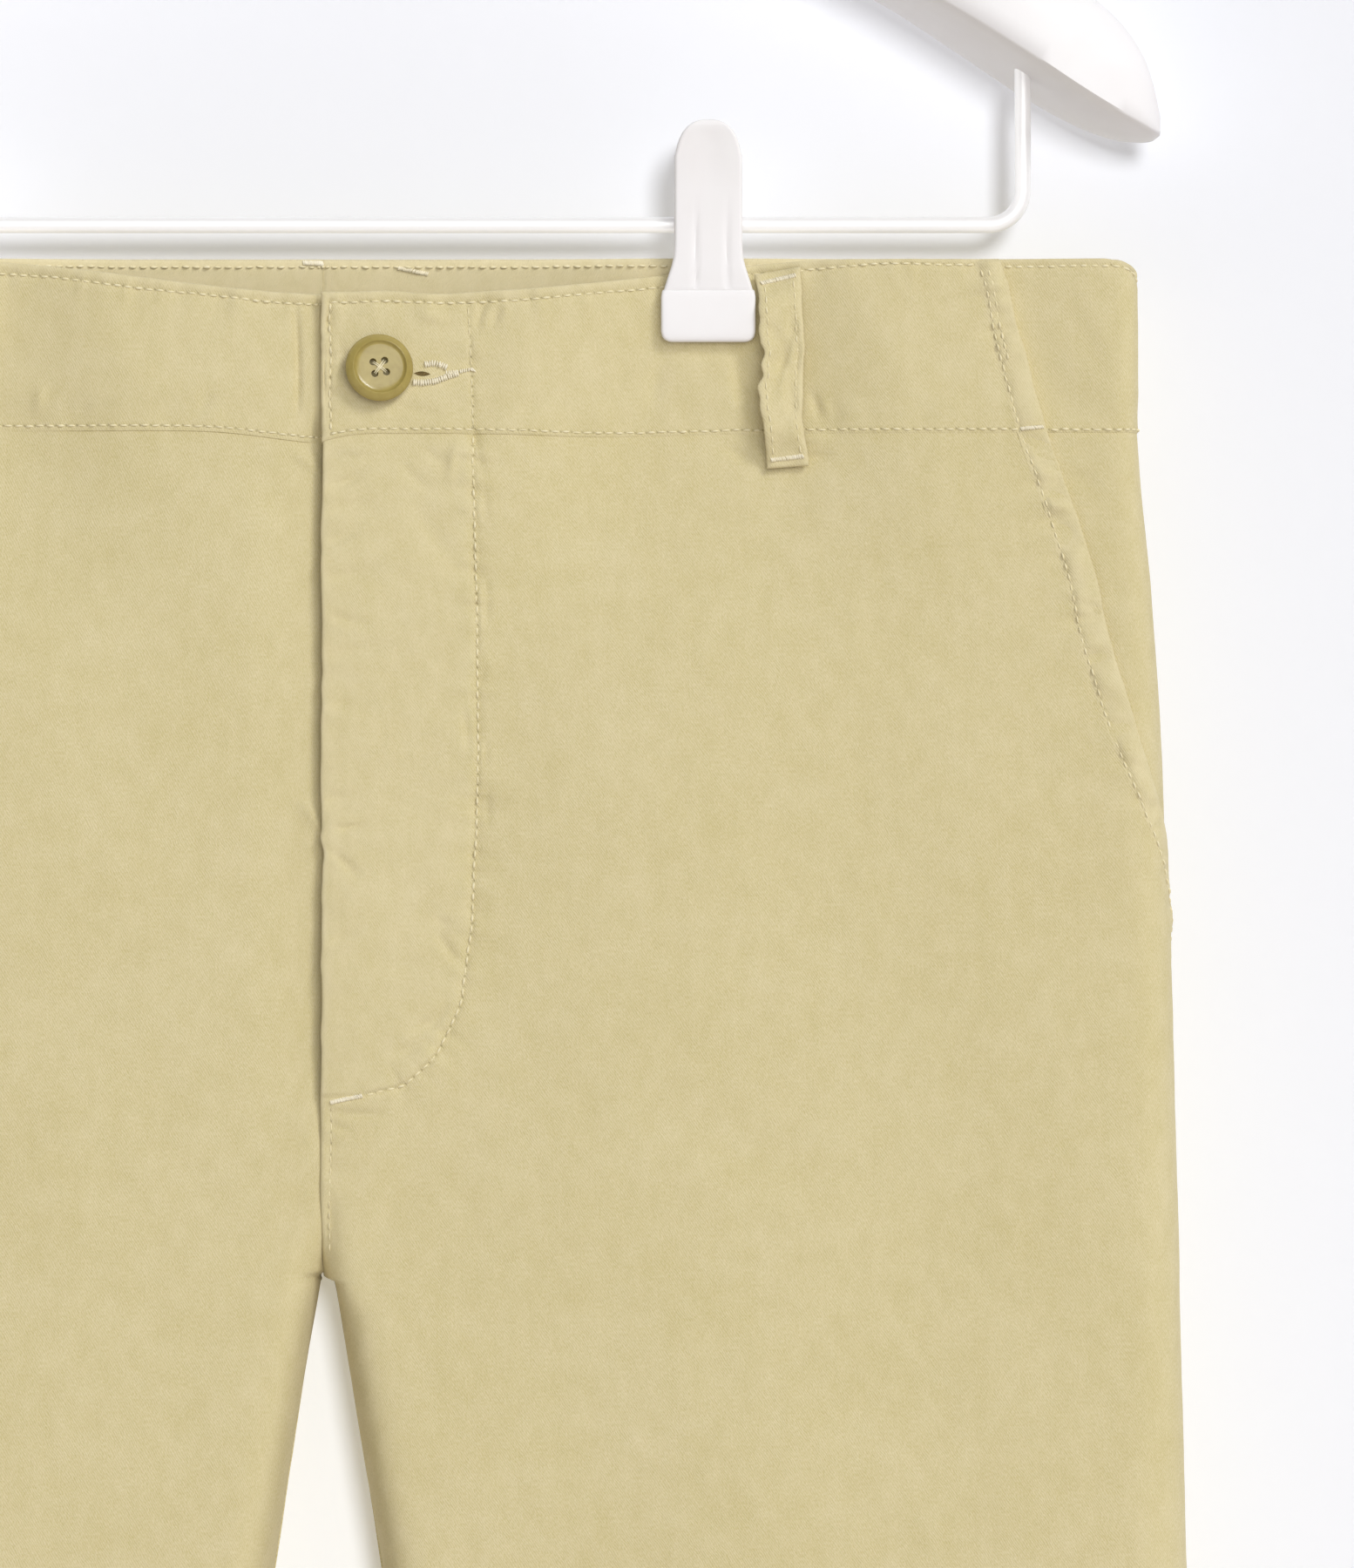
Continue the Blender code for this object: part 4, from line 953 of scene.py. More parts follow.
@dataclass
class ClothPiece:
    """A patch of cloth on the form: a thin shell with its seams and creases."""

    form: ShortsForm
    side: Side
    thick: float = 0.0012
    roll: float = 0.0008
    # How far an inner face is painted paler, as painted light.
    inside_painted_light: float = 0.0
    faint_mm: float = 0.0
    seams: list[SeamLine] = field(default_factory=list)
    drawn: list[SeamLine] = field(default_factory=list)
    creases: list[Crease] = field(default_factory=list)

    @property
    def word(self) -> str:
        """The side in words."""
        return self.side.name.lower()

    def spot(self, x: float, depth: float, face: Face = Face.FRONT) -> Spot:
        """A place given by its X, counted outwards."""
        return float(self.form.reach_at(face, self.side, x, depth)), depth

    def stitch(self, places: Iterable[Spot], seed: int, pucker: float, width: float = 0.00066) -> None:
        """Adds a line of stitches."""
        self.seams.append(SeamLine(tuple(places), pucker=pucker, width=width, seed=seed))

    def crease(self, rows: Iterable[Sequence[float]], face: Face | None = Face.FRONT) -> None:
        """Adds creases from rows of two places, width, height and bend, in millimetres.

        Args:
            rows: Their sizes; each place is an X and a depth, or a reach and a depth.
            face: The face that an X is on, or None for reaches.
        """
        for row in rows:
            x0, y0, x1, y1, *sizes = (value * MM for value in row)
            ends = ((x0, y0), (x1, y1))
            if face is not None:
                ends = tuple(self.spot(x, y, face) for x, y in ends)
            self.creases.append(Crease(*ends, *sizes))

    def hem_line(self, face: Face, seed: int) -> None:
        """Adds the stitching above the hem."""
        depth = self.form.outseam - 0.0262
        last = float(self.form.section(face, self.side, depth).total) - 0.002
        ends = sorted((face * last, self.form.side_seam))
        self.stitch(((float(r), depth) for r in np.linspace(*ends, 24)), seed, 0.00022)

    def lift(self, reach: Array, depth: Array) -> Array:
        """How far the outer face stands off the form, with its relief."""
        return self.softness(reach, depth)

    def sway(self, reach: Array, depth: Array) -> Array:
        """Sideways shift of the cloth, along X."""
        return np.zeros_like(reach)

    def softness(self, reach: Array, depth: Array, seed: int = 0) -> Array:
        """The slight waves of cloth that has been washed and pressed, and its creases."""
        total = 0.0
        for i, (high, wide, long) in enumerate(((0.45, 34, 50), (0.14, 11, 16), (0.05, 4.5, 6))):
            waves = cloth_noise(int(self.side) * reach / (wide * MM), depth / (long * MM), 5 + i + seed)
            total = total + high * MM * waves
        for seam in (*self.seams, *self.drawn):
            run, off = seam.near(reach, depth)
            waves = cloth_noise(run / 0.0052, seam.seed, 8) + 0.6 * cloth_noise(run / 0.0024, seam.seed, 9)
            beside = np.exp(-off / 0.0036) * np.minimum(1, off / 0.0008 + 0.3)
            total = total + 3.6 * seam.pucker * waves * beside
            if seam in self.seams:
                total = total - 0.00032 * bell(off, 0.0011)
        return total + sum(crease.relief(reach, depth) for crease in self.creases)

    def place(self, reach: Array, depth: Array, out: Array | float = 0.0) -> Array:
        """Points of the outer face, moved further out."""
        reach, depth = np.broadcast_arrays(reach, depth)
        points = self.form.lifted(self.side, reach, depth, self.lift(reach, depth) + out)
        points[..., 0] += self.sway(reach, depth)
        return points

    def inner_place(self, reach: Array, depth: Array, out: Array | float = 0.0) -> Array:
        """Points of the inner face, moved further in."""
        return self.place(reach, depth, -self.thick - np.asarray(out))

    def wear(self, reach: Array, depth: Array) -> Array:
        """How much the cloth is rubbed pale, from 0 to 1."""
        return np.zeros_like(reach)

    def shell(
        self, reach: Array, depth: Array, rolled: str, name: str,
        finish: Finish = TWILL, thick: Array | None = None,
    ) -> bpy.types.Object:
        """Builds the closed shell over a grid of places.

        Args:
            reach: Reach of each place, rows by columns.
            depth: Depth of each place.
            rolled: Letters of the borders that are folded round: t, b, f (first column), l (last).
            name: The piece's name.
            finish: The cloth's finish.
            thick: Thickness, if not the piece's own.

        Returns:
            The shell's object, with the attributes its finish reads.
        """
        reach, depth = np.broadcast_arrays(reach, depth)
        thick = self.thick if thick is None else thick
        base = self.form.point(self.side, reach, depth)
        far = np.full(reach.shape, 1.0)
        for axis, (first, last) in enumerate(("tb", "fl")):
            gaps = np.linalg.norm(np.diff(base, axis=axis), axis=-1)
            none = np.zeros_like(np.take(far, [0], axis))
            if first in rolled:
                far = np.minimum(far, np.concatenate([none, np.cumsum(gaps, axis)], axis))
            if last in rolled:
                back = np.flip(np.cumsum(np.flip(gaps, axis), axis), axis)
                far = np.minimum(far, np.concatenate([back, none], axis))
        curl = curled(far, self.roll) * thick * 0.48
        outer = self.place(reach, depth, -curl)
        inner = self.place(reach, depth, -thick + curl)
        obj, which = thin_shell(name, outer, inner, finish, self.side == Side.LEFT)
        self.dress(obj, reach, depth, which)
        return obj

    def dress(self, obj: bpy.types.Object, reach: Array, depth: Array, which: Array) -> None:
        """Stores the cloth's millimetres, its nearest seam, and its wear on the mesh, with painted light that
        pales an inner face where the piece asks for it.

        Args:
            obj: The piece.
            reach: Reach of each place.
            depth: Depth of each place.
            which: The place of each of the piece's points.
        """
        run, best = nearest_stitch(self.seams, reach, depth)
        worn = self.wear(reach, depth).reshape(-1)[which]
        # Inner faces may be painted paler here, as painted light; the rest is real wear.
        worn[reach.size:] = np.maximum(worn[reach.size:], self.inside_painted_light)
        flat = stacked(int(self.side) * reach, depth)[which] / MM
        set_attributes(obj, cloth_mm=flat, sewing=stacked(run, best / MM + self.faint_mm)[which], wear=worn)


# The fly's curved stitching: X and depth.
FLY_STITCH = MM * np.array((
    (37.6, 10.9), (38.5, 30.3), (39.0, 45.1), (39.4, 69.1), (39.9, 87.3), (40.2, 107.0), (40.4, 126.1),
    (40.1, 148.0), (39.4, 158.7), (38.8, 174.9), (37.4, 184.2), (36.0, 194.7), (34.4, 198.4),
    (30.1, 207.3), (27.8, 210.2), (23.3, 214.3), (21.2, 216.1), (14.6, 217.7), (11.2, 218.6),
))
FRONT_CREASES = {
    Side.LEFT: (
        (3.0, 149.0, 11.0, 148.2, 0.9, -0.84, 0.3), (2.0, 155.5, 9.5, 162.5, 1.0, -1.08, -0.8),
        (1.2, 142.0, 6.0, 140.0, 1.0, -0.66, 0), (1.0, 60.0, 10.5, 56.0, 1.3, -0.78, 0.6),
        (1.0, 66.5, 13.0, 64.0, 1.5, -0.66, -0.6), (1.2, 74.5, 10.0, 70.0, 1.4, -0.72, 0.5),
        (1.2, 84.0, 15.0, 80.0, 1.8, -0.66, 0.8), (1.2, 93.5, 12.0, 96.0, 1.5, -0.72, 0),
        (1.2, 104.0, 17.0, 101.0, 1.8, -0.60, 0.6), (1.2, 118.0, 7.0, 116.0, 1.4, -0.54, 0),
        (1.2, 179.0, 9.0, 175.5, 1.3, -0.60, 0.4), (23.0, 202.0, 33.0, 195.0, 1.6, -0.90, 1.0),
        (18.0, 208.0, 26.0, 204.0, 1.4, -0.66, 0.6), (30.0, 176.0, 37.2, 185.0, 1.5, -0.84, 0.8),
        (29.0, 173.0, 33.5, 174.5, 1.4, -0.60, 0), (1.0, 222.5, 16.0, 223.5, 1.1, -0.54, 0.4),
        (2.7, 242.0, 2.8, 266.2, 0.8, -0.66, 0), (1.0, 226.2, 7.0, 227.8, 1.0, -0.72, 0),
        (4.0, 50.5, 15.0, 49.0, 1.2, 0.75, 0.5), (20.0, 53.0, 29.0, 61.0, 1.8, -0.45, 1.0),
        (26.0, 50.0, 34.0, 56.0, 1.6, -0.42, 0), (22.5, 62.0, 38.5, 85.0, 3.4, -0.56, 1.0),
        (39.5, 45.0, 41.5, 56.0, 1.4, -0.78, 0.4), (35.0, 48.0, 33.0, 58.0, 1.4, 0.66, 0.4),
        (42.1, 60.0, 42.4, 69.0, 0.9, -0.36, 0), (42.4, 83.0, 42.8, 96.0, 1.0, -0.48, 0),
        (41.5, 104.0, 41.6, 112.0, 1.0, -0.36, 0), (42.4, 126.0, 42.4, 133.0, 0.9, -0.42, 0),
        (42.7, 138.0, 43.0, 148.0, 1.0, -0.42, 0), (36.8, 118.0, 38.0, 129.0, 1.2, -0.66, 0),
        (124.5, 52.0, 133.0, 51.0, 1.3, -0.90, 0.4), (125.0, 48.0, 132.0, 46.5, 1.1, 0.66, 0),
        (105.0, 49.0, 112.0, 53.0, 1.6, -0.72, 0), (25.0, 245.0, 10.0, 260.0, 4.0, -0.56, 1.0),
        (90, 220, 150, 240, 8.0, -0.56, 6.0), (120, 300, 170, 285, 9.0, -0.63, 4.0),
        (60, 390, 110, 410, 8.0, 0.63, -6.0), (150, 400, 200, 385, 7.0, -0.56, 3.0),
    ),
    Side.RIGHT: (
        (1.5, 150.0, 6.0, 142.0, 1.3, 1.05, 0), (2.0, 56.0, 8.0, 50.0, 1.4, 0.90, 0),
        (6.0, 70.0, 20.0, 50.0, 4.0, -0.42, 1.0), (50, 180, 90, 210, 8.0, -0.56, 4.0),
        (4.0, 244.0, 20.0, 262.0, 4.0, -0.56, 1.0), (90, 310, 150, 295, 9.0, -0.63, 4.0),
        (110, 415, 160, 405, 8.0, 0.63, 3.0), (130, 120, 160, 150, 7.0, -0.56, 3.0),
    ),
}
BACK_CREASES = (
    (10, 62, 50, 90, 6.0, -0.84, 4.0), (110, 60, 80, 110, 7.0, -0.84, -5.0),
    (120, 56, 150, 100, 6.0, 0.70, 4.0), (20, 215, 80, 190, 7.0, -1.26, 6.0),
    (18, 240, 90, 232, 8.0, -1.40, 6.0), (22, 262, 75, 282, 7.0, -0.98, -4.0),
    (130, 210, 190, 190, 8.0, 0.84, 4.0), (80, 330, 150, 345, 9.0, -0.84, 5.0),
    (140, 405, 200, 385, 8.0, 0.84, 4.0), (60, 420, 100, 400, 7.0, -0.70, 3.0),
)
BAND_CREASES = {
    Side.LEFT: (
        (0.4, 24.0, 0.6, 44.0, 0.4, -0.48, 0), (1.2, 12.0, 1.0, 20.0, 0.5, -0.36, 0),
        (42.0, 11.0, 40.0, 19.0, 1.2, -0.90, 0.4), (44.0, 18.0, 46.0, 12.0, 1.3, -0.72, 0),
        (33.0, 16.0, 25.0, 15.0, 1.6, 0.60, 0), (4.0, 21.0, 10.0, 35.0, 1.4, -0.72, 0.6),
        (20.0, 39.0, 33.0, 42.0, 1.8, -0.78, 0.5), (10.0, 40.0, 20.0, 42.5, 1.4, 0.66, 0),
        (56.0, 36.0, 50.0, 43.0, 1.8, -0.72, 0), (90.0, 24.0, 86.0, 40.0, 2.4, -0.66, 1.0),
        (108.0, 23.0, 111.0, 40.0, 2.0, -1.02, 0.8), (128.0, 35.0, 129.5, 43.0, 1.2, -0.90, 0),
        (131.0, 37.0, 132.5, 43.0, 1.1, 0.60, 0),
    ),
    Side.RIGHT: (
        (7.8, 11.0, 7.2, 43.0, 1.0, -1.26, 0.3), (30.0, 35.0, 33.0, 42.0, 1.8, -0.72, 0),
        (62.0, 38.0, 64.0, 43.0, 1.6, -0.66, 0), (74.0, 33.0, 75.5, 43.0, 1.6, 0.78, 0),
        (108.0, 23.0, 111.0, 40.0, 2.0, -1.02, 0.8),
    ),
}


@dataclass
class FrontPanel(ClothPiece):
    """A front of the shorts, with the fly's stitching on the wearer's left one."""

    def __post_init__(self) -> None:
        """Works out the seams and creases of this side."""
        self.hem_line(Face.FRONT, 21)
        if self.side == Side.LEFT:
            fly = [self.spot(x, d) for x, d in ((0.0390, 0.0462), *FLY_STITCH[3:])]
            self.stitch(fly, 4, 0.00026)
            depths = np.linspace(0.2225, 0.2600, 8)
            below = (self.spot(0.0018 + 0.0003 * math.sin(d * 90), d) for d in depths)
            self.stitch(below, 5, 0.00020, 0.00040)
        self.crease(FRONT_CREASES[self.side])

    def in_fly(self, x: Array, depth: Array) -> Array:
        """1 inside the fly's stitching, and 0 outside it."""
        return ease((np.interp(depth, FLY_STITCH[:, 1], FLY_STITCH[:, 0], right=-0.01) - x) / 0.0030)

    def lift(self, reach: Array, depth: Array) -> Array:
        """Softness, with the doubled cloth of the fly raised inside its stitching."""
        total = self.softness(reach, depth, 10 if self.side == Side.LEFT else 30)
        x = self.form.x_at(self.side, reach, depth)
        if self.side == Side.LEFT:
            rumple = cloth_noise(x / 0.010, depth / 0.0042, 41)
            crinkle = cloth_noise(x / 0.0070 + depth / 0.012, depth / 0.0032, 42)
            crinkle = crinkle * np.exp(-np.maximum(0, x) / 0.005)
            total = total + self.in_fly(x, depth) * (0.00030 + 0.00016 * rumple + 0.00034 * crinkle)
        else:
            # The under front dips beside the lapping edge, unevenly, and most at its top.
            dip = np.exp(-np.maximum(0, x - 0.0008) / 0.0038) * fall((depth - 0.212) / 0.012)
            uneven = 0.75 + 0.35 * cloth_noise(depth / 0.022, 0.0, 45) - 0.9 * bell(depth - 0.1475, 0.006)
            deep = mix(0.0019, 0.0014, ease((depth - 0.09) / 0.06)) + 0.0024 * fall((depth - 0.060) / 0.030)
            total = total - deep * dip * uneven
            total = total - 0.0006 * fall((x - 0.0010) / 0.003) * fall((depth - 0.2620) / 0.004)
        waist = self.form.band_seam(self.side, x)
        return total + 0.00034 * cloth_noise(x / 0.0060, depth / 0.02, 43) * np.exp(-(depth - waist) / 0.006)

    def sway(self, reach: Array, depth: Array) -> Array:
        """The fly's edge wavers as it runs down, and the right front runs on under it."""
        x = self.form.x_at(self.side, reach, depth)
        beside = fall(x / 0.006) * fall((depth - 0.2645) / 0.0018)
        if self.side == Side.RIGHT:
            return beside * 0.0016
        nick = -0.00045 * bell(depth - 0.1515, 0.0016) + 0.00040 * bell(depth - 0.1560, 0.0022)
        shift = waver(depth, 51, (0.26, 14), (0.16, 4.5)) + nick + 0.0003
        return fall(x / 0.010) * fall((depth - 0.225) / 0.02) * shift - 0.0001 * beside

    def wear(self, reach: Array, depth: Array) -> Array:
        """The fly's edge and the hem are rubbed."""
        x = self.form.x_at(self.side, reach, depth)
        edge = fall((x + 0.0006) / 0.003) * fall((depth - 0.22) / 0.01)
        fly = 0.35 * self.in_fly(x, depth) if self.side == Side.LEFT else 0.0
        hem = ease((depth - self.form.outseam + 0.003) / 0.002)
        return np.clip(edge * 0.6 + fly + hem * 0.6, 0, 1)

    def build(self) -> bpy.types.Object:
        """Builds the panel and hides its solid."""
        form, left = self.form, self.side == Side.LEFT
        rows = np.concatenate([
            steps(form.band_depth - 0.0008, 0.2355, (), (), 0.00064 if left else 0.0009),
            steps(0.2380, 0.2640, (), (), 0.0020)[:-1],
            steps(0.2640, 0.2690, (), (), 0.0003)[:-1],
            steps(0.2690, form.outseam, (), (0.0002, 0.0005, 0.0009, 0.0015), 0.0024),
        ])
        s = form.section(Face.FRONT, self.side, rows)
        centre = -form.centre_reach(s, 1 - np.linspace(0, 1, 14)[None])
        edge = form.pocket_reach(rows)[:, None] - 0.0003
        # Columns are close together across the fly, and spread out to the pocket edge.
        near = np.arange(1, 68 if left else 20)[None] * (0.00058 if left else 0.0008)
        near = near - (s.total - s.inner_quarter)[:, None]
        wide = near[:, -1:]
        far = wide + (edge - wide) * np.linspace(0, 1, 106)[None, 1:]
        reach = np.concatenate([centre, near, far], axis=1)
        x = form.x_at(self.side, reach, form.band_depth)
        shift = form.band_seam(self.side, x) - form.band_depth
        depth = rows[:, None] + shift * fall((rows[:, None] - form.band_depth) / 0.035)
        obj = self.shell(reach, depth, "fb", f"cloth_front_{self.word}")
        return give_sheet(obj, "twill", f"front_{self.word}")


@dataclass
class BackPanel(ClothPiece):
    """A back of the shorts, plain, with the seat seam down its middle."""

    def __post_init__(self) -> None:
        """Works out the seams and creases of this side."""
        self.hem_line(Face.BACK, 22)
        if self.side == Side.LEFT:
            depths = np.linspace(0.0470, 0.2580, 30)
            self.stitch((self.spot(0.0030, d, Face.BACK) for d in depths), 6, 0.00022, 0.00042)
        self.crease(BACK_CREASES, Face.BACK)

    def lift(self, reach: Array, depth: Array) -> Array:
        """Softness, gathered a little along the seat seam and under the waistband."""
        x = self.form.x_at(self.side, reach, depth)
        waist = np.exp(-(depth - self.form.band_depth) / 0.007)
        seat = np.exp(-np.maximum(0, x) / 0.006) * fall((depth - 0.26) / 0.01)
        total = self.softness(reach, depth, 50 if self.side == Side.LEFT else 70)
        total = total + 0.00016 * cloth_noise(x / 0.0060, depth / 0.02, 61) * waist
        return total + 0.00022 * cloth_noise(depth / 0.0070, x / 0.01, 62) * seat

    def wear(self, reach: Array, depth: Array) -> Array:
        """The hem is rubbed."""
        return 0.6 * ease((depth - self.form.outseam + 0.003) / 0.002)

    def build(self) -> bpy.types.Object:
        """Builds the panel and hides its solid."""
        form = self.form
        first, last = (0.0006, 0.0014, 0.0026), (0.0002, 0.0006, 0.0014)
        rows = steps(form.band_depth - 0.0008, form.outseam, first, last, 0.0026)
        s = form.section(Face.BACK, self.side, rows)
        centre = form.centre_reach(s, 1 - np.linspace(0, 1, 12)[None])[:, ::-1]
        start = form.side_seam + 0.0003
        reach = start + (centre[:, :1] - start) * np.linspace(0, 1, 71)[None, :-1]
        reach = np.concatenate([reach, centre], axis=1)
        obj = self.shell(reach, rows[:, None], "b", f"cloth_back_{self.word}")
        return give_sheet(obj, "twill", f"back_{self.word}")


@dataclass
class FrontBand(ClothPiece):
    """Half the front waistband; the left one laps over and has the buttonhole."""

    front: ClothPiece | None = None
    thick: float = 0.0017
    roll: float = 0.0010
    proud: float = 0.0005
    lap: float = 0.0010

    def top_stitch(self, x: float) -> float:
        """Depth of the stitching under the top edge."""
        top = float(self.form.front_top(self.side, np.array(x)))
        return top + 0.0014 + 0.0013 * float(fall((x - 0.06) / 0.10)) + 0.0002 * math.sin(x * 160)

    def __post_init__(self) -> None:
        """Works out the stitching and creases of this side."""
        form, spot, left = self.form, self.spot, self.side == Side.LEFT
        first = 0.0016 if left else 0.0006
        self.stitch((spot(x, self.top_stitch(x)) for x in np.linspace(first, 0.176, 40)), 7, 0.00018)
        lower = (
            spot(x, float(form.band_seam(self.side, x)) - 0.0003) for x in np.linspace(first, 0.182, 40)
        )
        self.stitch(lower, 8, 0.00009, 0.00060)
        if left:
            depths = np.linspace(0.0114, 0.0455, 8)
            self.stitch((spot(0.0018 + 0.0002 * math.sin(d * 300), d) for d in depths), 9, 0.00020)
            for seed, line in (
                (10, ((0.0376, 0.0125), (0.0380, 0.0200), (0.0385, 0.0285))),
                (11, ((0.0386, 0.0310), (0.0388, 0.0380), (0.0390, 0.0440))),
            ):
                self.stitch((spot(x, d) for x, d in line), seed, 0.00014, 0.00036)
        self.crease(BAND_CREASES[self.side])

    def lift(self, reach: Array, depth: Array) -> Array:
        """Softness, plumped between its stitching, and flush with the front at its seam."""
        x = self.form.x_at(self.side, reach, depth)
        top, seam = self.form.front_top(self.side, x), self.form.band_seam(self.side, x)
        free = self.softness(reach, depth, 90) + plumped(depth, top, seam, x, 0.00022, 71)
        sewn = self.front.lift(reach, depth) - 0.00024 * ease((x - 0.055) / 0.03)
        sink = 0.00020 * ease((depth - seam) / self.lap)
        return self.proud + mix(free, sewn, fall((seam - depth) / 0.010)) - sink

    def sway(self, reach: Array, depth: Array) -> Array:
        """The lapping end leans and is not quite straight."""
        if self.side == Side.RIGHT:
            return np.zeros_like(reach)
        lean = mix(-0.00035, 0.00020, (depth - 0.009) / 0.036)
        shift = lean + waver(depth, 72, (0.24, 6), (0.12, 1.9))
        return fall(self.form.x_at(self.side, reach, depth) / 0.008) * shift

    def wear(self, reach: Array, depth: Array) -> Array:
        """Edges are rubbed, and the lapping end most of all."""
        x = self.form.x_at(self.side, reach, depth)
        edge = fall((depth - self.form.front_top(self.side, x)) / 0.0028)
        end = fall((x + 0.0006) / 0.0030) if self.side == Side.LEFT else 0.0
        return np.clip(0.75 * edge + 0.9 * end + 0.18, 0, 1)

    def build(self) -> bpy.types.Object:
        """Builds the band and hides its solid."""
        form = self.form
        shares = steps(0.0, 1.0, (0.004, 0.010, 0.018, 0.028, 0.039, 0.051, 0.063, 0.075),
                       (0.004, 0.009, 0.015, 0.022, 0.030, 0.039, 0.049, 0.060), 0.014)
        start = -float(form.section(Face.FRONT, self.side, form.band_depth).total) + 0.00005
        end = float(form.pocket_reach(form.band_depth))
        flat = steps(start, end, (0.0002, 0.0005, 0.0009, 0.0014, 0.002), (0.0004, 0.001), 0.00065)
        x = form.x_at(self.side, flat, form.band_depth)
        top = form.front_top(self.side, x)
        depth = top[None] + (form.band_seam(self.side, x) + self.lap - top)[None] * shares[:, None]
        # Columns keep their share of the way from the centre to the pocket edge.
        way = (flat - start) / (end - start)
        first = -form.section(Face.FRONT, self.side, depth).total + 0.00005
        reach = first + (form.pocket_reach(depth) - first) * way[None]
        if self.side == Side.RIGHT:
            return self.build_with_underlap(reach, depth)
        thick = self.thick * mix(1.0, 0.35, ease((shares - 0.965) / 0.01))[:, None]
        obj = self.shell(reach, depth, "tbf", "cloth_waistband_front_left", thick=thick)
        return give_sheet(obj, "twill", "waistband_front_left")

    def build_with_underlap(self, reach: Array, depth: Array) -> bpy.types.Object:
        """Builds the right band, which runs on behind the left one's end.

        Args:
            reach: Reaches of the showing part.
            depth: Depths of the showing part.

        Returns:
            The band's object.
        """
        form = self.form
        under = np.array([37.8, 34, 30, 26, 22, 18, 14, 10, 6, 3, 1.2]) * MM
        hidden = np.repeat(depth[:, :1], len(under), axis=1)
        far = form.reach_at(Face.FRONT, Side.LEFT, under[None], hidden)
        out = self.proud - form.fly_lift - form.fly_sink
        outer, inner = (
            np.concatenate(
                [form.lifted(Side.LEFT, far, hidden, out - below), self.place(reach, depth, -below)], axis=1
            )
            for below in (0.0, self.thick)
        )
        curl = curled(depth[:, :1] - depth[:1, :1], self.roll)[..., None] * 0.96
        middle = (outer + inner) / 2
        outer, inner = mix(outer, middle, curl), mix(inner, middle, curl)
        obj, which = thin_shell("cloth_waistband_front_right", outer, inner, TWILL)
        full_reach = np.concatenate([reach[:, :1] - under[None], reach], axis=1)
        self.dress(obj, full_reach, np.concatenate([hidden, depth], axis=1), which)
        return give_sheet(obj, "twill", "waistband_front_right")


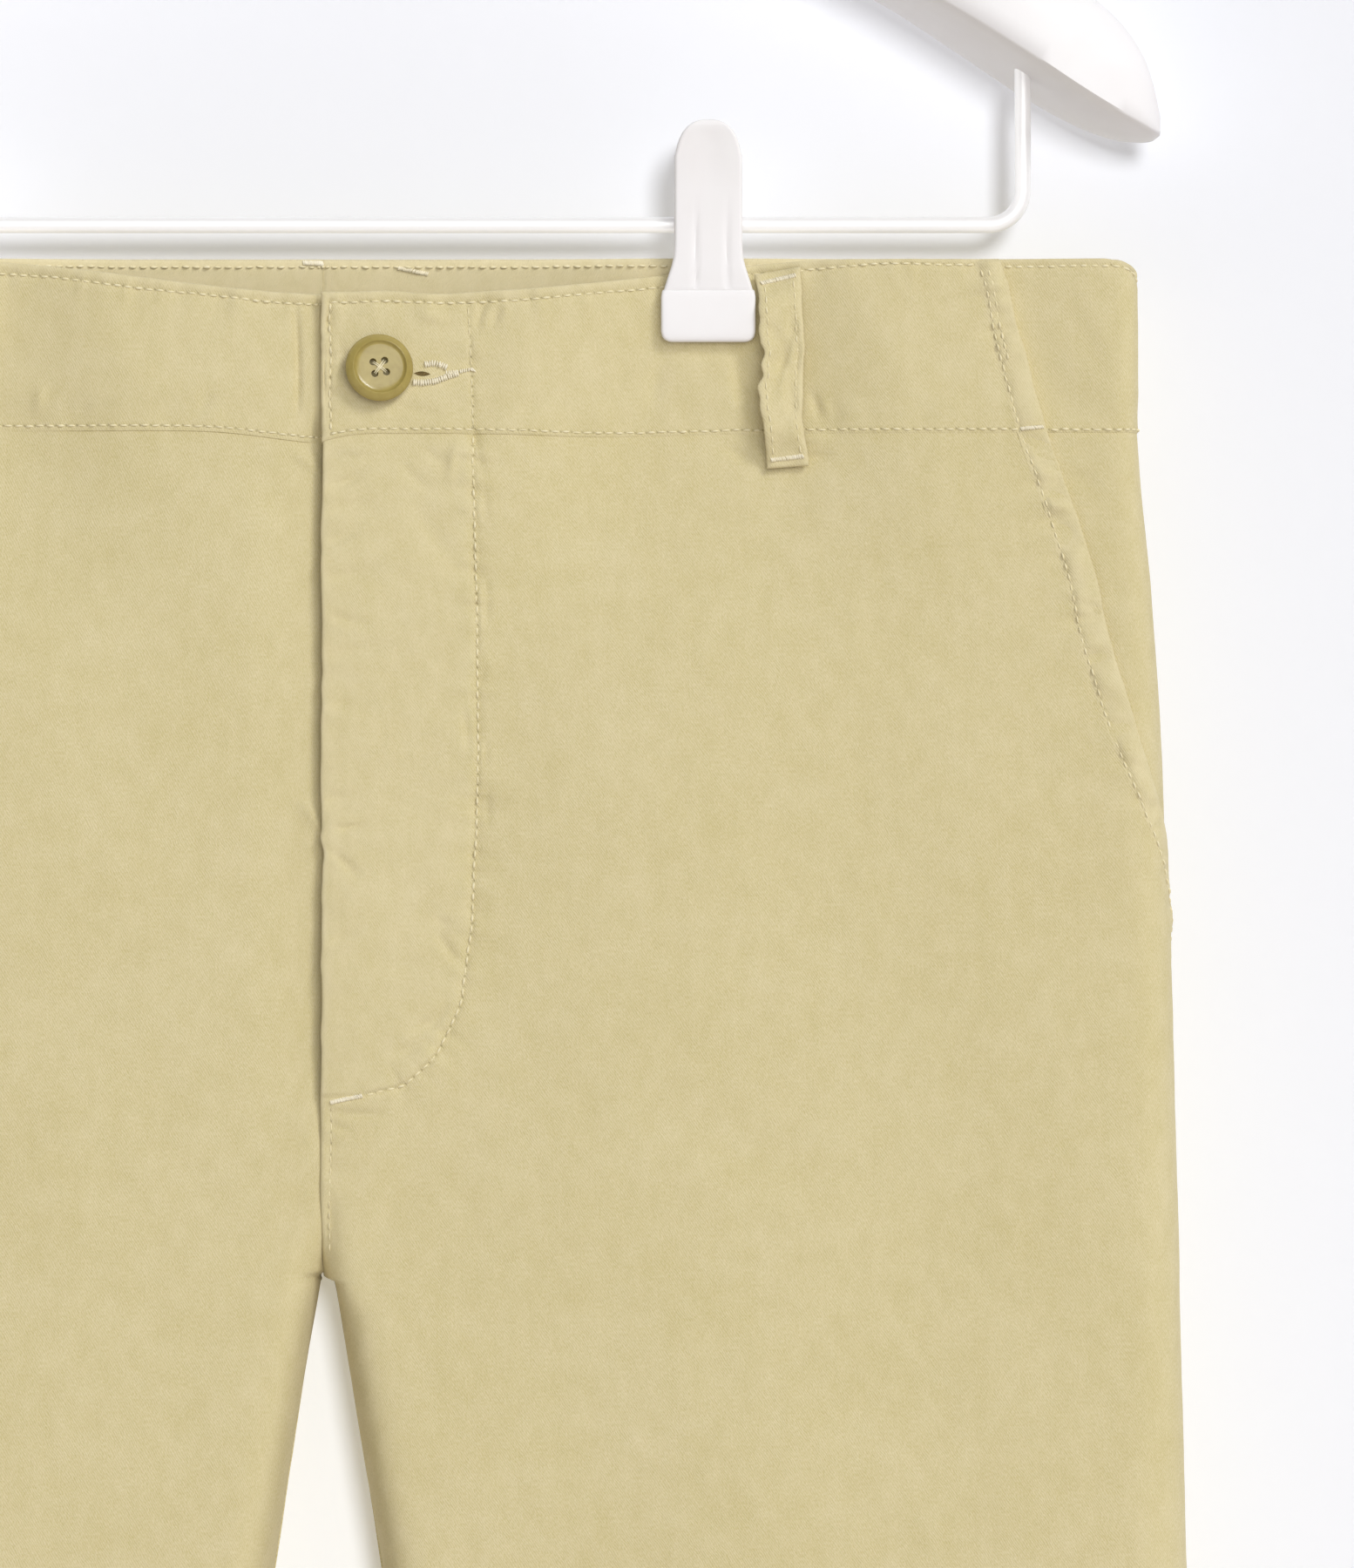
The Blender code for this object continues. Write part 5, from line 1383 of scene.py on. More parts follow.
@dataclass
class BackBand(ClothPiece):
    """The waistband behind the pocket edge, round the side to the centre back."""

    thick: float = 0.0017
    roll: float = 0.0010
    proud: float = 0.0005
    gap: float = 0.0004
    lap: float = 0.0010
    corner: float = 0.0046
    # The inside face is painted paler, as painted light where it lies in shade.
    inside_painted_light: float = 1.6
    hip: ClothPiece | None = None
    back: ClothPiece | None = None

    def total(self) -> float:
        """Distance round the back from the outline to the centre."""
        return float(self.form.section(Face.BACK, self.side, self.form.band_depth).total)

    def top(self, reach: Array) -> Array:
        """Depth of the top edge, which is rounded off at the outline."""
        gap = self.form.x_at(self.side, 0 * reach, 0.0) - self.form.x_at(self.side, reach, 0.0)
        left = self.corner - np.clip(gap, 0, self.corner)
        return -0.0001 - 0.0004 * ease(reach / 0.01) + self.corner - np.sqrt(self.corner**2 - left**2)

    def __post_init__(self) -> None:
        """Works out the stitching and creases."""
        form = self.form
        for seed, start in ((12, 0.0020), (13, form.band_depth)):
            reaches = np.linspace(float(form.pocket_reach(start)) + 0.0006, self.total() - 0.001, 90)
            line = self.top(reaches) + 0.0020 if seed == 12 else np.full(90, form.band_depth - 0.0003)
            self.stitch(zip(reaches.tolist(), line.tolist()), seed, 0.00010)
        self.crease(((-20, 12, -12, 30, 3.0, -0.42, 1), (60, 20, 66, 42, 3.0, -0.476, 1),
                     (120, 10, 114, 34, 3.0, 0.42, 1), (170, 22, 176, 42, 2.6, -0.90, 1)), None)

    def lift(self, reach: Array, depth: Array) -> Array:
        """Softness, plumped between the stitching; it starts under the pocket edge."""
        under = self.proud - self.thick - self.gap
        out = mix(under, self.proud, ease((reach - self.form.pocket_reach(depth)) / 0.022))
        seam = self.form.band_depth
        plump = plumped(depth, self.top(reach), seam, reach, 0.00020, 81)
        free = out + self.softness(reach, depth, 110) + plump
        round_side = ease((reach - self.form.side_seam + 0.001) / 0.002)
        sewn = mix(self.hip.lift(reach, depth), self.back.lift(reach, depth), round_side) + 0.00032
        return mix(free, sewn, fall((seam - depth) / 0.010)) - 0.00030 * ease((depth - seam) / self.lap)

    def sway(self, reach: Array, depth: Array) -> Array:
        """The two halves meet at the centre back."""
        total = self.form.section(Face.BACK, self.side, depth).total
        return -int(self.side) * 0.00014 * ease(1 - (total - reach) / 0.002)

    def wear(self, reach: Array, depth: Array) -> Array:
        """The top edge is rubbed."""
        return np.clip(0.75 * fall((depth - self.top(reach)) / 0.0028) + 0.1, 0, 1)

    def build(self) -> bpy.types.Object:
        """Builds the band and hides its solid."""
        form, total = self.form, self.total()
        shares = steps(0.0, 1.0, (0.004, 0.011, 0.021, 0.035, 0.052, 0.070, 0.09),
                       (0.004, 0.010, 0.018, 0.028, 0.040, 0.054, 0.07), 0.05)
        edge = float(form.pocket_reach(form.band_depth))
        flat = steps(edge - 0.009, total - 0.00005, (), (0.0004, 0.0012), 0.0019)
        # Closer columns round the side, where the top corner is rounded off.
        flat = np.union1d(flat[np.abs(flat + 0.002) > 0.0105], np.arange(-0.0120, 0.0081, 0.0006))
        way = np.clip((flat - edge + 0.009) / 0.05, 0, 1)
        depth = self.top(flat)[None] + (form.band_depth + self.lap - self.top(flat))[None] * shares[:, None]
        reach = flat[None] + (form.pocket_reach(depth) - edge) * fall(way)[None]
        ends = form.section(Face.BACK, self.side, depth).total - 0.00005
        reach = np.where(reach > 0, reach * (1 + (ends / total - 1) * np.clip(reach / total, 0, 1)), reach)
        obj = self.shell(reach, depth, "tb", f"cloth_waistband_back_{self.word}")
        return give_sheet(obj, "twill", f"waistband_back_{self.word}")


@dataclass
class PocketEdge(ClothPiece):
    """The folded and stitched edge of the slanted pocket, up through the waistband."""

    thick: float = 0.0010
    roll: float = 0.0006
    width: float = 0.0080
    faint_mm: float = 0.22
    front: ClothPiece | None = None
    band: ClothPiece | None = None

    def strip_width(self, depth: Array | float) -> Array:
        """Width of the folded edge."""
        return mix(self.width, 0.0068, fall((depth - 0.004) / 0.03))

    def across(self, reach: Array, depth: Array) -> Array:
        """The share of the way from the fold to the stitched side."""
        return np.clip((self.form.pocket_reach(depth) - reach) / self.strip_width(depth), 0, 1)

    def __post_init__(self) -> None:
        """Works out the stitching beside the fold, and the creases across it."""
        fold = self.form.pocket_reach
        for seed, offset, last, count in ((14, 0.0011, 0.1820, 60), (15, 0.0029, 0.0270, 12)):
            depths = np.linspace(0.0026, last, count)
            reaches = fold(depths) - self.strip_width(depths) + offset + 0.00015 * np.sin(depths * 240)
            self.stitch(zip(reaches.tolist(), depths.tolist()), seed, 0.00020, 0.00056)
        for top, end, height in ((47.4, 50.2, -0.9), (50.2, 53.2, -1.02), (53.5, 55.2, -0.72),
                                 (61.0, 64.0, -0.78), (74.5, 76.2, -0.78), (90.0, 92.5, -0.84)):
            edge = float(fold(top * MM)) / MM
            self.crease(((edge - 7.0, top, edge + 1.4, end, 1.0, height, 0),), None)

    def lift(self, reach: Array, depth: Array) -> Array:
        """Puffed between its stitching and its fold, and crinkled across."""
        on_band = fall((depth - self.form.band_depth - 0.0010) / 0.0020)
        across = self.across(reach, depth)
        puff = 0.00046 * np.sin((1 - across) * 0.86 * math.pi) + 0.00008
        crinkle = 0.00100 * cloth_noise(reach / 0.009 + depth / 0.010, depth / 0.0036, 91)
        crinkle = crinkle + 0.00034 * cloth_noise(reach / 0.004, depth / 0.0019, 92)
        crinkle = crinkle * (0.14 + 0.86 * np.sin(across * math.pi))
        folds = sum(crease.relief(reach, depth) for crease in self.creases)
        under = mix(self.front.lift(reach, depth), self.band.lift(reach, depth), on_band)
        raised = ease((1 - across) / 0.24) * (1 - 0.8 * ease((reach + 0.016) / 0.012))
        return under + 0.00002 + raised * (puff + crinkle + folds)

    def sway(self, reach: Array, depth: Array) -> Array:
        """The fold wavers."""
        shift = waver(depth, 94, (0.36, 8.5), (0.16, 3.4))
        return (1 - self.across(reach, depth)) * shift * fall((reach + 0.016) / 0.012)

    def wear(self, reach: Array, depth: Array) -> Array:
        """The whole fold is rubbed pale."""
        return 0.75 + 0.25 * cloth_noise(reach / 0.004, depth / 0.006, 93)

    def build(self) -> bpy.types.Object:
        """Builds the folded edge and hides its solid."""
        rows = steps(0.0005, self.form.pocket_end - 0.001, (0.0004, 0.001), (), 0.0010)[:, None]
        across = np.array([[0.0, 0.06, 0.14, 0.24, 0.36, 0.48, 0.60, 0.72, 0.82, 0.90, 0.95, 0.98, 1.0]])
        end = self.form.pocket_reach(rows)
        start = end - self.strip_width(rows)
        reach = start + (end + 0.0002 - start) * across
        obj = self.shell(reach, rows, "tl", f"cloth_pocket_edge_{self.word}")
        return give_sheet(obj, "twill", f"pocket_strip_{self.word}")


@dataclass
class HipFacing(ClothPiece):
    """The hip's cloth, which shows behind the slanted pocket edge."""

    def __post_init__(self) -> None:
        """Places the small creases beside the pocket edge."""
        self.crease(((-27, 54.5, -18, 59.0, 1.6, -1.05, 0.5), (-26, 50, -17, 51.5, 1.4, -0.78, 0),
                     (-20, 88, -12, 86, 1.6, -0.72, 0), (-15, 118, -8, 115, 1.6, -0.72, 0)), None)

    def lift(self, reach: Array, depth: Array) -> Array:
        """Softness; the cloth dips under the pocket edge."""
        edge = self.form.pocket_reach(depth)
        sunk = fall((reach - edge) / np.maximum(self.form.side_seam - edge, 0.002))
        trough = 0.0004 * np.exp(-np.maximum(0, reach - edge) / 0.0016)
        return self.softness(reach, depth, 150) - (self.thick + 0.0001) * sunk - trough

    def build(self) -> bpy.types.Object:
        """Builds the facing and hides its solid."""
        rows = steps(self.form.band_depth - 0.0008, 0.1800, (0.0008, 0.002), (), 0.0024)[:, None]
        inner = self.form.pocket_reach(rows) - 0.016
        reach = inner + (self.form.side_seam - inner) * np.linspace(0, 1, 27)[None]
        obj = self.shell(reach, rows, "", f"cloth_hip_{self.word}")
        return give_sheet(obj, "twill", f"pocket_facing_{self.word}")


@dataclass
class PocketBag(ClothPiece):
    """A flat cotton bag inside the front."""

    thick: float = 0.0008
    inner_x: float = 0.078
    end: float = 0.236

    def lift(self, reach: Array, depth: Array) -> Array:
        """It hangs close behind the front."""
        return -0.0023 + 0.4 * self.softness(reach, depth, 170)

    def build(self) -> bpy.types.Object:
        """Builds the bag and hides its solid."""
        rows = steps(0.050, self.end - 0.002, (), (0.001, 0.003, 0.006, 0.010), 0.006)[:, None]
        outer = self.form.pocket_reach(np.minimum(rows, 0.150)) - 0.0172
        inner = self.form.reach_at(Face.FRONT, self.side, self.inner_x, rows)
        rounded = np.sqrt(1 - np.clip((rows - 0.180) / (self.end - 0.180), 0, 1) ** 2)
        reach = (outer + inner) / 2 + (outer - inner) / 2 * rounded * np.linspace(-1, 1, 17)[None]
        obj = self.shell(reach, rows, "b", f"pocket_bag_cloth_{self.word}", POCKETING)
        return give_sheet(obj, "pocketing", f"pocket_bag_{self.word}")


@dataclass
class Hem(ClothPiece):
    """The turned-up cloth inside a leg's opening."""

    thick: float = 0.0010
    height: float = 0.028
    inside: float = 0.0016

    def build(self) -> bpy.types.Object:
        """Builds the closed ring and hides its solid."""
        form = self.form
        depths = np.array([form.outseam - self.height, form.outseam - 0.015, form.outseam - 0.0004])[:, None]
        first, last = (face * (form.section(face, self.side, depths).total - 0.0008) for face in Face)
        reach = first + (last - first) * np.linspace(0, 1, 81)[None]
        depth = np.broadcast_to(depths, reach.shape)
        outer, inner = (
            form.lifted(self.side, reach, depth, -below) for below in (self.inside, self.inside + self.thick)
        )
        rings = np.concatenate([outer, inner[::-1]], axis=0).transpose(1, 0, 2)
        obj = loft_piece(f"cloth_hem_{self.word}", rings, TWILL, 50.0, closed=True)
        flat = [np.concatenate([part, part[::-1]], axis=0).T for part in (reach, depth)]
        self.dress(obj, *flat, np.arange(flat[0].size))
        return give_sheet(obj, "twill", f"hem_{self.word}")


@dataclass
class BeltLoop:
    """A folded strip of twill, stitched down both edges and tacked at its ends."""

    form: ShortsForm
    node_name: str
    side: Side
    face: Face
    x: float
    lean: float
    seed: int
    width: float = 0.0110
    top: float = 0.0030
    length: float = 0.0516
    thick: float = 0.0013
    seat: float = 0.0005
    stand: float = 0.0032
    proud: float = 0.0005

    def place(self, across: Array, along: Array, out: Array | float = 0.0) -> Array:
        """Points of the loop's outer face.

        Args:
            across: Distance from its centre line, outwards from the middle of the body.
            along: Distance from its upper end.
            out: Distance further out.

        Returns:
            The points.
        """
        share = np.clip(along / self.length, 0, 1)
        depth = self.top + along - across / self.width * mix(0.0020, 0.0008, share)
        edge = np.abs(across) / (self.width / 2)
        arch = ease(share / 0.20) * ease((1 - share) / 0.22)
        ridge = 0.00030 * bell(edge - 0.74, 0.22) - 0.00022 * bell(edge, 0.55)
        crumple = 0.00080 * cloth_noise(across / 0.0055 + self.seed, along / 0.0085, 201 + self.seed)
        crumple = crumple + 0.00040 * cloth_noise(across / 0.0026, along / 0.0040, 202 + self.seed)
        # A deep nick and a ridge beside it, where the strip has buckled.
        nick = -0.0011 * bell(across - 0.0038, 0.0006) * bell(along - 0.0235, 0.0042)
        buckle = across - 0.0018 + 0.25 * (along - 0.0235)
        nick = nick + 0.0007 * bell(buckle, 0.0009) * bell(along - 0.0260, 0.0050)
        lift = self.seat + self.thick + self.stand * arch * (1 - 0.9 * across / self.width)
        which_edge = np.sign(across) + self.seed
        frayed = np.where(across < 0, 0.00070, 0.00030) * edge**2
        wave = 0.0006 * cloth_noise(along / 0.016, self.seed, 203)
        wave = wave + frayed * cloth_noise(along / 0.0030, which_edge, 204)
        wave = wave + 0.0006 * edge * cloth_noise(along / 0.011, which_edge, 205)
        x = self.x + self.lean * share + across * (1 + 0.10 * np.exp(-along / 0.006)) + wave * arch
        base = self.form.swell(self.face, self.side, np.abs(x), depth) + self.proud
        y = self.face * (base + lift + ridge + crumple * (0.35 + arch) + nick + np.asarray(out))
        return np.stack([int(self.side) * x + 0 * y, y, self.form.waist_top_z - depth], axis=-1)

    def build(self, sewing: Sewing, tacks: Sewing) -> bpy.types.Object:
        """Builds the loop and its stitches, and hides its solid."""
        half, ends, sides = self.width / 2, (0.0003, 0.0008, 0.0016), (0.0001, 0.0003, 0.0007)
        along = steps(0.0, self.length, ends, ends, 0.0008)
        a, b = np.meshgrid(steps(-half, half, sides, sides, 0.0007), along)
        far = np.minimum.reduce([a + half, half - a, b, self.length - b])
        curl = curled(far, 0.0008) * self.thick * 0.48
        outer, inner = self.place(a, b, -curl), self.place(a, b, -self.thick + curl)
        turned = int(self.side) * int(self.face) == -1
        obj, which = thin_shell("cloth_" + self.node_name, outer, inner, TWILL, turned)
        runs = np.linspace(0.003, self.length - 0.003, 8).tolist()
        lines = [
            SeamLine(tuple((inset, run) for run in runs), width=width, seed=self.seed + k)
            for k, (inset, width) in enumerate(((0.0019 - half, 0.00046), (half - 0.0019, 0.00038)))
        ]
        for line in lines:
            sewing.seam(self.place, line)
        run, best = nearest_stitch(lines, a, b)
        wear = np.clip(0.35 + 0.6 * ease((np.abs(a) / half - 0.7) / 0.3), 0, 1).reshape(-1)
        flat = stacked(a, b)[which] / MM + (self.seed * 13.0, 0, 0)
        set_attributes(obj, cloth_mm=flat, sewing=stacked(run, best / MM + 0.22)[which], wear=wear[which])
        inset = half - 0.0012
        for first, last in ((0.0026, 0.0020), (self.length - 0.0022, self.length - 0.0026)):
            tacks.tack(self.place, (-inset, first), (inset, last), 0.0013)
        return give_sheet(obj, "twill", self.node_name)


# --------------------------------------------------------------- closures
@dataclass
class WaistButton:
    """A turned four-hole button, sewn through and tilted by its shank."""

    form: ShortsForm
    band: FrontBand
    x: float = 0.0143
    depth: float = 0.0291
    radius: float = 0.0089
    thick: float = 0.0034
    hole: float = 0.00095
    hole_ring: float = 0.0022
    turns: int = 72
    # Shares of the radius and of the thickness, from the middle of the face round to the back.
    profile: tuple[Spot, ...] = (
        (0.0, 0.70), (0.30, 0.70), (0.55, 0.705), (0.68, 0.72), (0.725, 0.76), (0.75, 0.84),
        (0.768, 0.925), (0.79, 0.97), (0.815, 0.955), (0.845, 0.885), (0.90, 0.80), (0.95, 0.68),
        (0.99, 0.54), (1.0, 0.42), (0.99, 0.30), (0.95, 0.18), (0.85, 0.06), (0.70, 0.0), (0.0, 0.0),
    )

    def seat(self) -> tuple[Vector, Matrix]:
        """Where the button's back lies, and how it is turned."""
        reach = self.form.reach_at(Face.FRONT, Side.LEFT, self.x, self.depth)
        low, high = (self.band.place(np.array(reach), np.array(self.depth), out) for out in (0.0, 0.01))
        out = Vector((high - low).tolist()).normalized()
        # The button's lower edge is drawn forward by its thread.
        tilted = (out + Vector((0.13, 0.0, 0.09))).normalized()
        return Vector(low.tolist()) + out * 0.0011, tilted.to_track_quat("Z", "Y").to_matrix()

    def holes(self) -> Array:
        """The middles of the four holes."""
        angles = np.radians(45 + 90 * np.arange(4) + 8)
        return np.stack([np.cos(angles), np.sin(angles)], axis=-1) * self.hole_ring

    def turned_disc(self) -> bpy.types.Object:
        """The disc as it comes off the lathe, before drilling."""
        made = bmesh.new()
        line = [made.verts.new((a * self.radius, 0, b * self.thick)) for a, b in self.profile]
        for start, end in zip(line, line[1:]):
            made.edges.new((start, end))
        bmesh.ops.spin(made, geom=made.verts[:] + made.edges[:], cent=(0, 0, 0), axis=(0, 0, 1),
                       angle=math.tau, steps=self.turns, use_merge=True)
        bmesh.ops.remove_doubles(made, verts=made.verts, dist=0.000005)
        bmesh.ops.recalc_face_normals(made, faces=made.faces)
        disc = bpy.data.objects.new("button_disc", bpy.data.meshes.new("button_disc"))
        made.to_mesh(disc.data)
        made.free()
        bpy.context.scene.collection.objects.link(disc)
        return disc

    def drill(self, disc: bpy.types.Object, x: float, y: float) -> bpy.types.Object:
        """Cuts one hole in the disc, and returns the drill."""
        made = bmesh.new()
        bmesh.ops.create_cone(
            made, cap_ends=True, segments=20, radius1=self.hole, radius2=self.hole, depth=0.02
        )
        drill = bpy.data.objects.new("drill", bpy.data.meshes.new("drill"))
        made.to_mesh(drill.data)
        made.free()
        drill.location = (x, y, 0)
        bpy.context.scene.collection.objects.link(drill)
        cut = disc.modifiers.new("Hole", "BOOLEAN")
        cut.operation = "DIFFERENCE"
        cut.object = drill
        return drill

    def build(self, thread: Sewing) -> bpy.types.Object:
        """Builds the disc with its holes, and the thread through them."""
        seat, turn = self.seat()
        holes = self.holes()
        disc = self.turned_disc()
        drills = [self.drill(disc, x, y) for x, y in holes]
        bpy.context.view_layer.update()
        graph = bpy.context.evaluated_depsgraph_get()
        whole = bpy.data.meshes.new_from_object(disc.evaluated_get(graph))
        for extra in (disc, *drills):
            bpy.data.objects.remove(extra)
        whole.transform(Matrix.Translation(seat) @ turn.to_4x4())
        obj = link_mesh("waist_button", whole, RESIN, 40.0)

        def on_disc(a: Array, b: Array, out: Array | float) -> Array:
            """Points over the button's face."""
            local = np.stack([a, b, 0.67 * self.thick + np.asarray(out) + 0 * a], axis=-1)
            return local @ np.array(turn).T + np.array(seat)

        for start, end in ((0, 2), (1, 3)):
            gap = holes[end] - holes[start]
            aside = np.array([-gap[1], gap[0]]) / np.linalg.norm(gap)
            shifts = np.array([-0.00022, 0.00022])[:, None] * aside
            thread.add(on_disc, holes[start] + shifts, holes[end] + shifts, 0.00042, 0.00050, 31 + start)
        return ride(obj, "button_resin", "button")


@dataclass
class Buttonhole:
    """A worked slit: close purl stitches round it, and a knot at its end."""

    form: ShortsForm
    band: FrontBand
    lips: tuple[tuple[Spot, ...], ...] = (
        ((0.0262, 0.0279), (0.0285, 0.0275), (0.0305, 0.0279), (0.0322, 0.0287)),
        ((0.0232, 0.0326), (0.0262, 0.0327), (0.0292, 0.0322), (0.0326, 0.0309), (0.0352, 0.0300)),
    )
    bar: tuple[Spot, ...] = ((0.0318, 0.0300), (0.0350, 0.0298), (0.0382, 0.0291))
    knot: Spot = (0.0388, 0.0290)

    def place(self, x: Array, depth: Array, out: Array | float = 0.0) -> Array:
        """Points over the waistband, by X and depth."""
        return self.band.place(self.form.reach_at(Face.FRONT, Side.LEFT, x, depth), depth, out)

    def build(self, purl: Sewing) -> bpy.types.Object:
        """Builds the purl stitches, and a dark sheet of painted shade in the slit between them."""
        for k, lip in enumerate(self.lips):
            line = SeamLine(lip, pitch=0.00062)
            at = line.at(0.5)
            ahead = unit(line.at(0.9) - at)
            across = np.stack([-ahead[:, 1], ahead[:, 0]], axis=-1) * 0.00088
            purl.add(self.place, at - across, at + across, 0.00062, 0.00080, 35 + k)
        at = SeamLine(self.bar, pitch=0.00060).at(0.5)
        purl.add(self.place, at - (0.0, 0.0006), at + (0.0, 0.0006), 0.00050, 0.00050, 38)
        for shift in ((0.0, 0.0), (0.0003, 0.0003), (-0.0003, 0.0002)):
            knot = np.array([self.knot]) + shift
            purl.add(self.place, knot - (0.0006, 0.0004), knot + (0.0006, 0.0004), 0.00055, 0.0007, 39)
        # The slit's lips part a little; a dark sheet between them is painted shade for the gap.
        t = np.linspace(0, 1, 25)
        half = 0.00060 * np.sin(np.clip(t, 0.02, 0.98) * math.pi) ** 0.8
        shares = np.linspace(-1, 1, 5)[:, None]
        x = np.broadcast_to(mix(0.0236, 0.0278, t), (5, 25))
        points = self.place(x, mix(0.0302, 0.0304, t) + half * shares, 0.00012)
        finish = CottonTwill("cut_cotton", shade="#54452a", worn="#7d6b3e")
        obj, which = thin_shell("buttonhole_slit", points, points + np.array([0.0, 0.0004, 0.0]), finish)
        flat = stacked(points[..., 0], points[..., 2])[which] / MM
        set_attributes(obj, cloth_mm=flat, sewing=flat * 0 + (0.0, 20.0, 0.0), wear=flat[:, 0] * 0)
        return ride(obj, "twill")


@dataclass
class FlyZip:
    """The closed zip behind the lapping front: two tapes and a line of coils."""

    form: ShortsForm
    x: float = 0.0140
    half: float = 0.0125
    top: float = 0.0478
    end: float = 0.205

    def place(self, x: Array, depth: Array, out: Array | float = 0.0) -> Array:
        """Points over the tape's outer face."""
        reach = self.form.reach_at(Face.FRONT, Side.LEFT, x, depth)
        return self.form.lifted(Side.LEFT, reach, depth, -0.0020 + np.asarray(out))

    def build(self, coils: Sewing) -> bpy.types.Object:
        """Builds the tape and its coils, and hides the solid."""
        rows = np.linspace(self.top, self.end, 60)
        x, depth = np.meshgrid(self.x + self.half * np.linspace(-1, 1, 9), rows)
        obj, which = thin_shell("zip_tape", self.place(x, depth), self.place(x, depth, -0.0008), TAPE)
        set_attributes(obj, cloth_mm=stacked(x, depth)[which] / MM)
        middle = np.arange(self.top + 0.002, self.end - 0.002, 0.0013)
        at = np.stack([np.full_like(middle, self.x), middle], axis=-1)
        coils.add(self.place, at - (0.0024, 0.0003), at + (0.0024, -0.0003), 0.0008, 0.0006, 61)
        return give_sheet(obj, "zip_tape", "zip")


# --------------------------------------------------------------- the hanger
ARM = Table(("x", "underside", "tilt", "half_depth", "height"), (
    (0, 128.0, 3.0, 8.5, 30.0), (12, 127.2, 3.0, 8.5, 28.5), (30, 122.5, 3.2, 8.5, 24.0),
    (60, 111.0, 4.2, 10.0, 24.5), (100, 94.0, 6.0, 14.0, 28.0), (146, 71.7, 8.4, 19.5, 31.5),
    (165, 60.5, 10.6, 21.8, 32.5), (184, 48.3, 11.7, 22.5, 32.5), (198, 39.8, 10.2, 20.0, 31.0),
    (208, 35.0, 7.8, 15.5, 27.5), (214.5, 33.0, 4.8, 10.5, 20.5), (217.5, 32.4, 2.4, 6.5, 12.5),
    (219, 33.0, 0.8, 2.5, 5.0),
))


@dataclass
class Hanger:
    """The moulded shoulders, the bent bar that carries the clips, and the hook."""

    form: ShortsForm
    dome_steps: int = 26
    fullness: float = 0.75
    tilt_share: float = 0.70
    edge: float = 0.0009
    bar_radius: float = 0.00215
    bar_height: float = 0.0092
    bar_half: float = 0.1830
    bar_bend: float = 0.0090
    hook_wire: float = 0.0020
    hook_inside: float = 0.019

    def ring(self, x: float, side: Side) -> Array:
        """One section: a nearly flat underside with a rounded lip, and a domed top."""
        under, tilt, half, height = (float(ARM.read(name, x)) for name in ARM.names[1:])
        turn = np.linspace(0, math.pi, self.dome_steps + 1)
        rise = height * np.sin(turn).clip(0) ** self.fullness
        lip = min(self.edge, 0.3 * half)
        inner = np.linspace(half - lip, -half + lip, 7)
        y = np.concatenate([-half * np.cos(turn), inner])
        z = np.concatenate([rise + lip * 0.6 * (rise < lip), -0.0002 * np.cos(inner / half * RIGHT_ANGLE)])
        z = z + self.form.waist_top_z + under - tilt * self.tilt_share / 2 * (y / half)
        return np.stack([np.full_like(y, int(side) * x), y, z], axis=-1)

    def shoulders(self) -> bpy.types.Object:
        """Builds the moulding, whose sockets hold the bar and the hook."""
        tip = np.array([209.0, 211.5, 213.5, 215.0, 216.3, 217.4, 218.3, 219.0]) * MM
        grid = np.concatenate([np.linspace(0, 0.206, 64), tip])
        rings = [self.ring(x, Side.RIGHT) for x in grid[:0:-1]] + [self.ring(x, Side.LEFT) for x in grid]
        obj = loft_piece("hanger_shoulders", np.array(rings), PLASTIC, 60.0)
        return ride(obj, "hanger_plastic", "hanger_body")

    def bar(self) -> bpy.types.Object:
        """Builds the coated wire, bent up at both ends into the shoulders."""
        low = self.form.waist_top_z + self.bar_height
        top = self.form.waist_top_z + float(ARM.read("underside", self.bar_half)) + 0.0077
        angles = np.linspace(0, RIGHT_ANGLE, 17)
        x = self.bar_half - self.bar_bend * (1 - np.cos(angles))
        bend = np.stack([x, angles * 0, low + self.bar_bend * (1 - np.sin(angles))], axis=-1)
        rise = np.array([[self.bar_half, 0, z] for z in np.linspace(top, low + self.bar_bend, 8)[:-1]])
        half = np.concatenate([rise, bend])
        path = np.concatenate([half, half[::-1] * (-1, 1, 1)])
        obj = tube_piece("hanger_wire", path, self.bar_radius, COATING)
        return ride(obj, "coated_wire", "hanger_bar")

    def hook(self) -> bpy.types.Object:
        """Builds the round hook with its stem in the neck."""
        arc = self.hook_inside + self.hook_wire
        angles = np.radians(np.linspace(200, -50, 60))
        curve = np.stack([arc * np.cos(angles), angles * 0, arc * np.sin(angles) - self.hook_inside], -1)
        start, end = curve[-1], np.array([0, 0, -0.056])
        lean = math.radians(50)
        leaving = start + np.array([-math.sin(lean), 0, -math.cos(lean)]) * 0.012
        arriving = end + np.array([0, 0, 0.010])
        t = np.linspace(0, 1, 20)[1:, None]
        u = 1 - t
        stem = start * u**3 + leaving * 3 * t * u * u + arriving * 3 * t * t * u + end * t**3
        neck = self.form.waist_top_z + float(ARM.read("underside", 0.0) + ARM.read("height", 0.0))
        path = np.concatenate([curve, stem, [[0, 0, -0.065]], [[0, 0, neck - 0.0115]]])
        obj = tube_piece("hanger_hook_wire", path, self.hook_wire, STEEL)
        return ride(obj, "hook_steel", "hanger_hook")

    def build(self) -> bpy.types.Object:
        """Builds all three and returns the bar."""
        self.shoulders()
        self.hook()
        return self.bar()


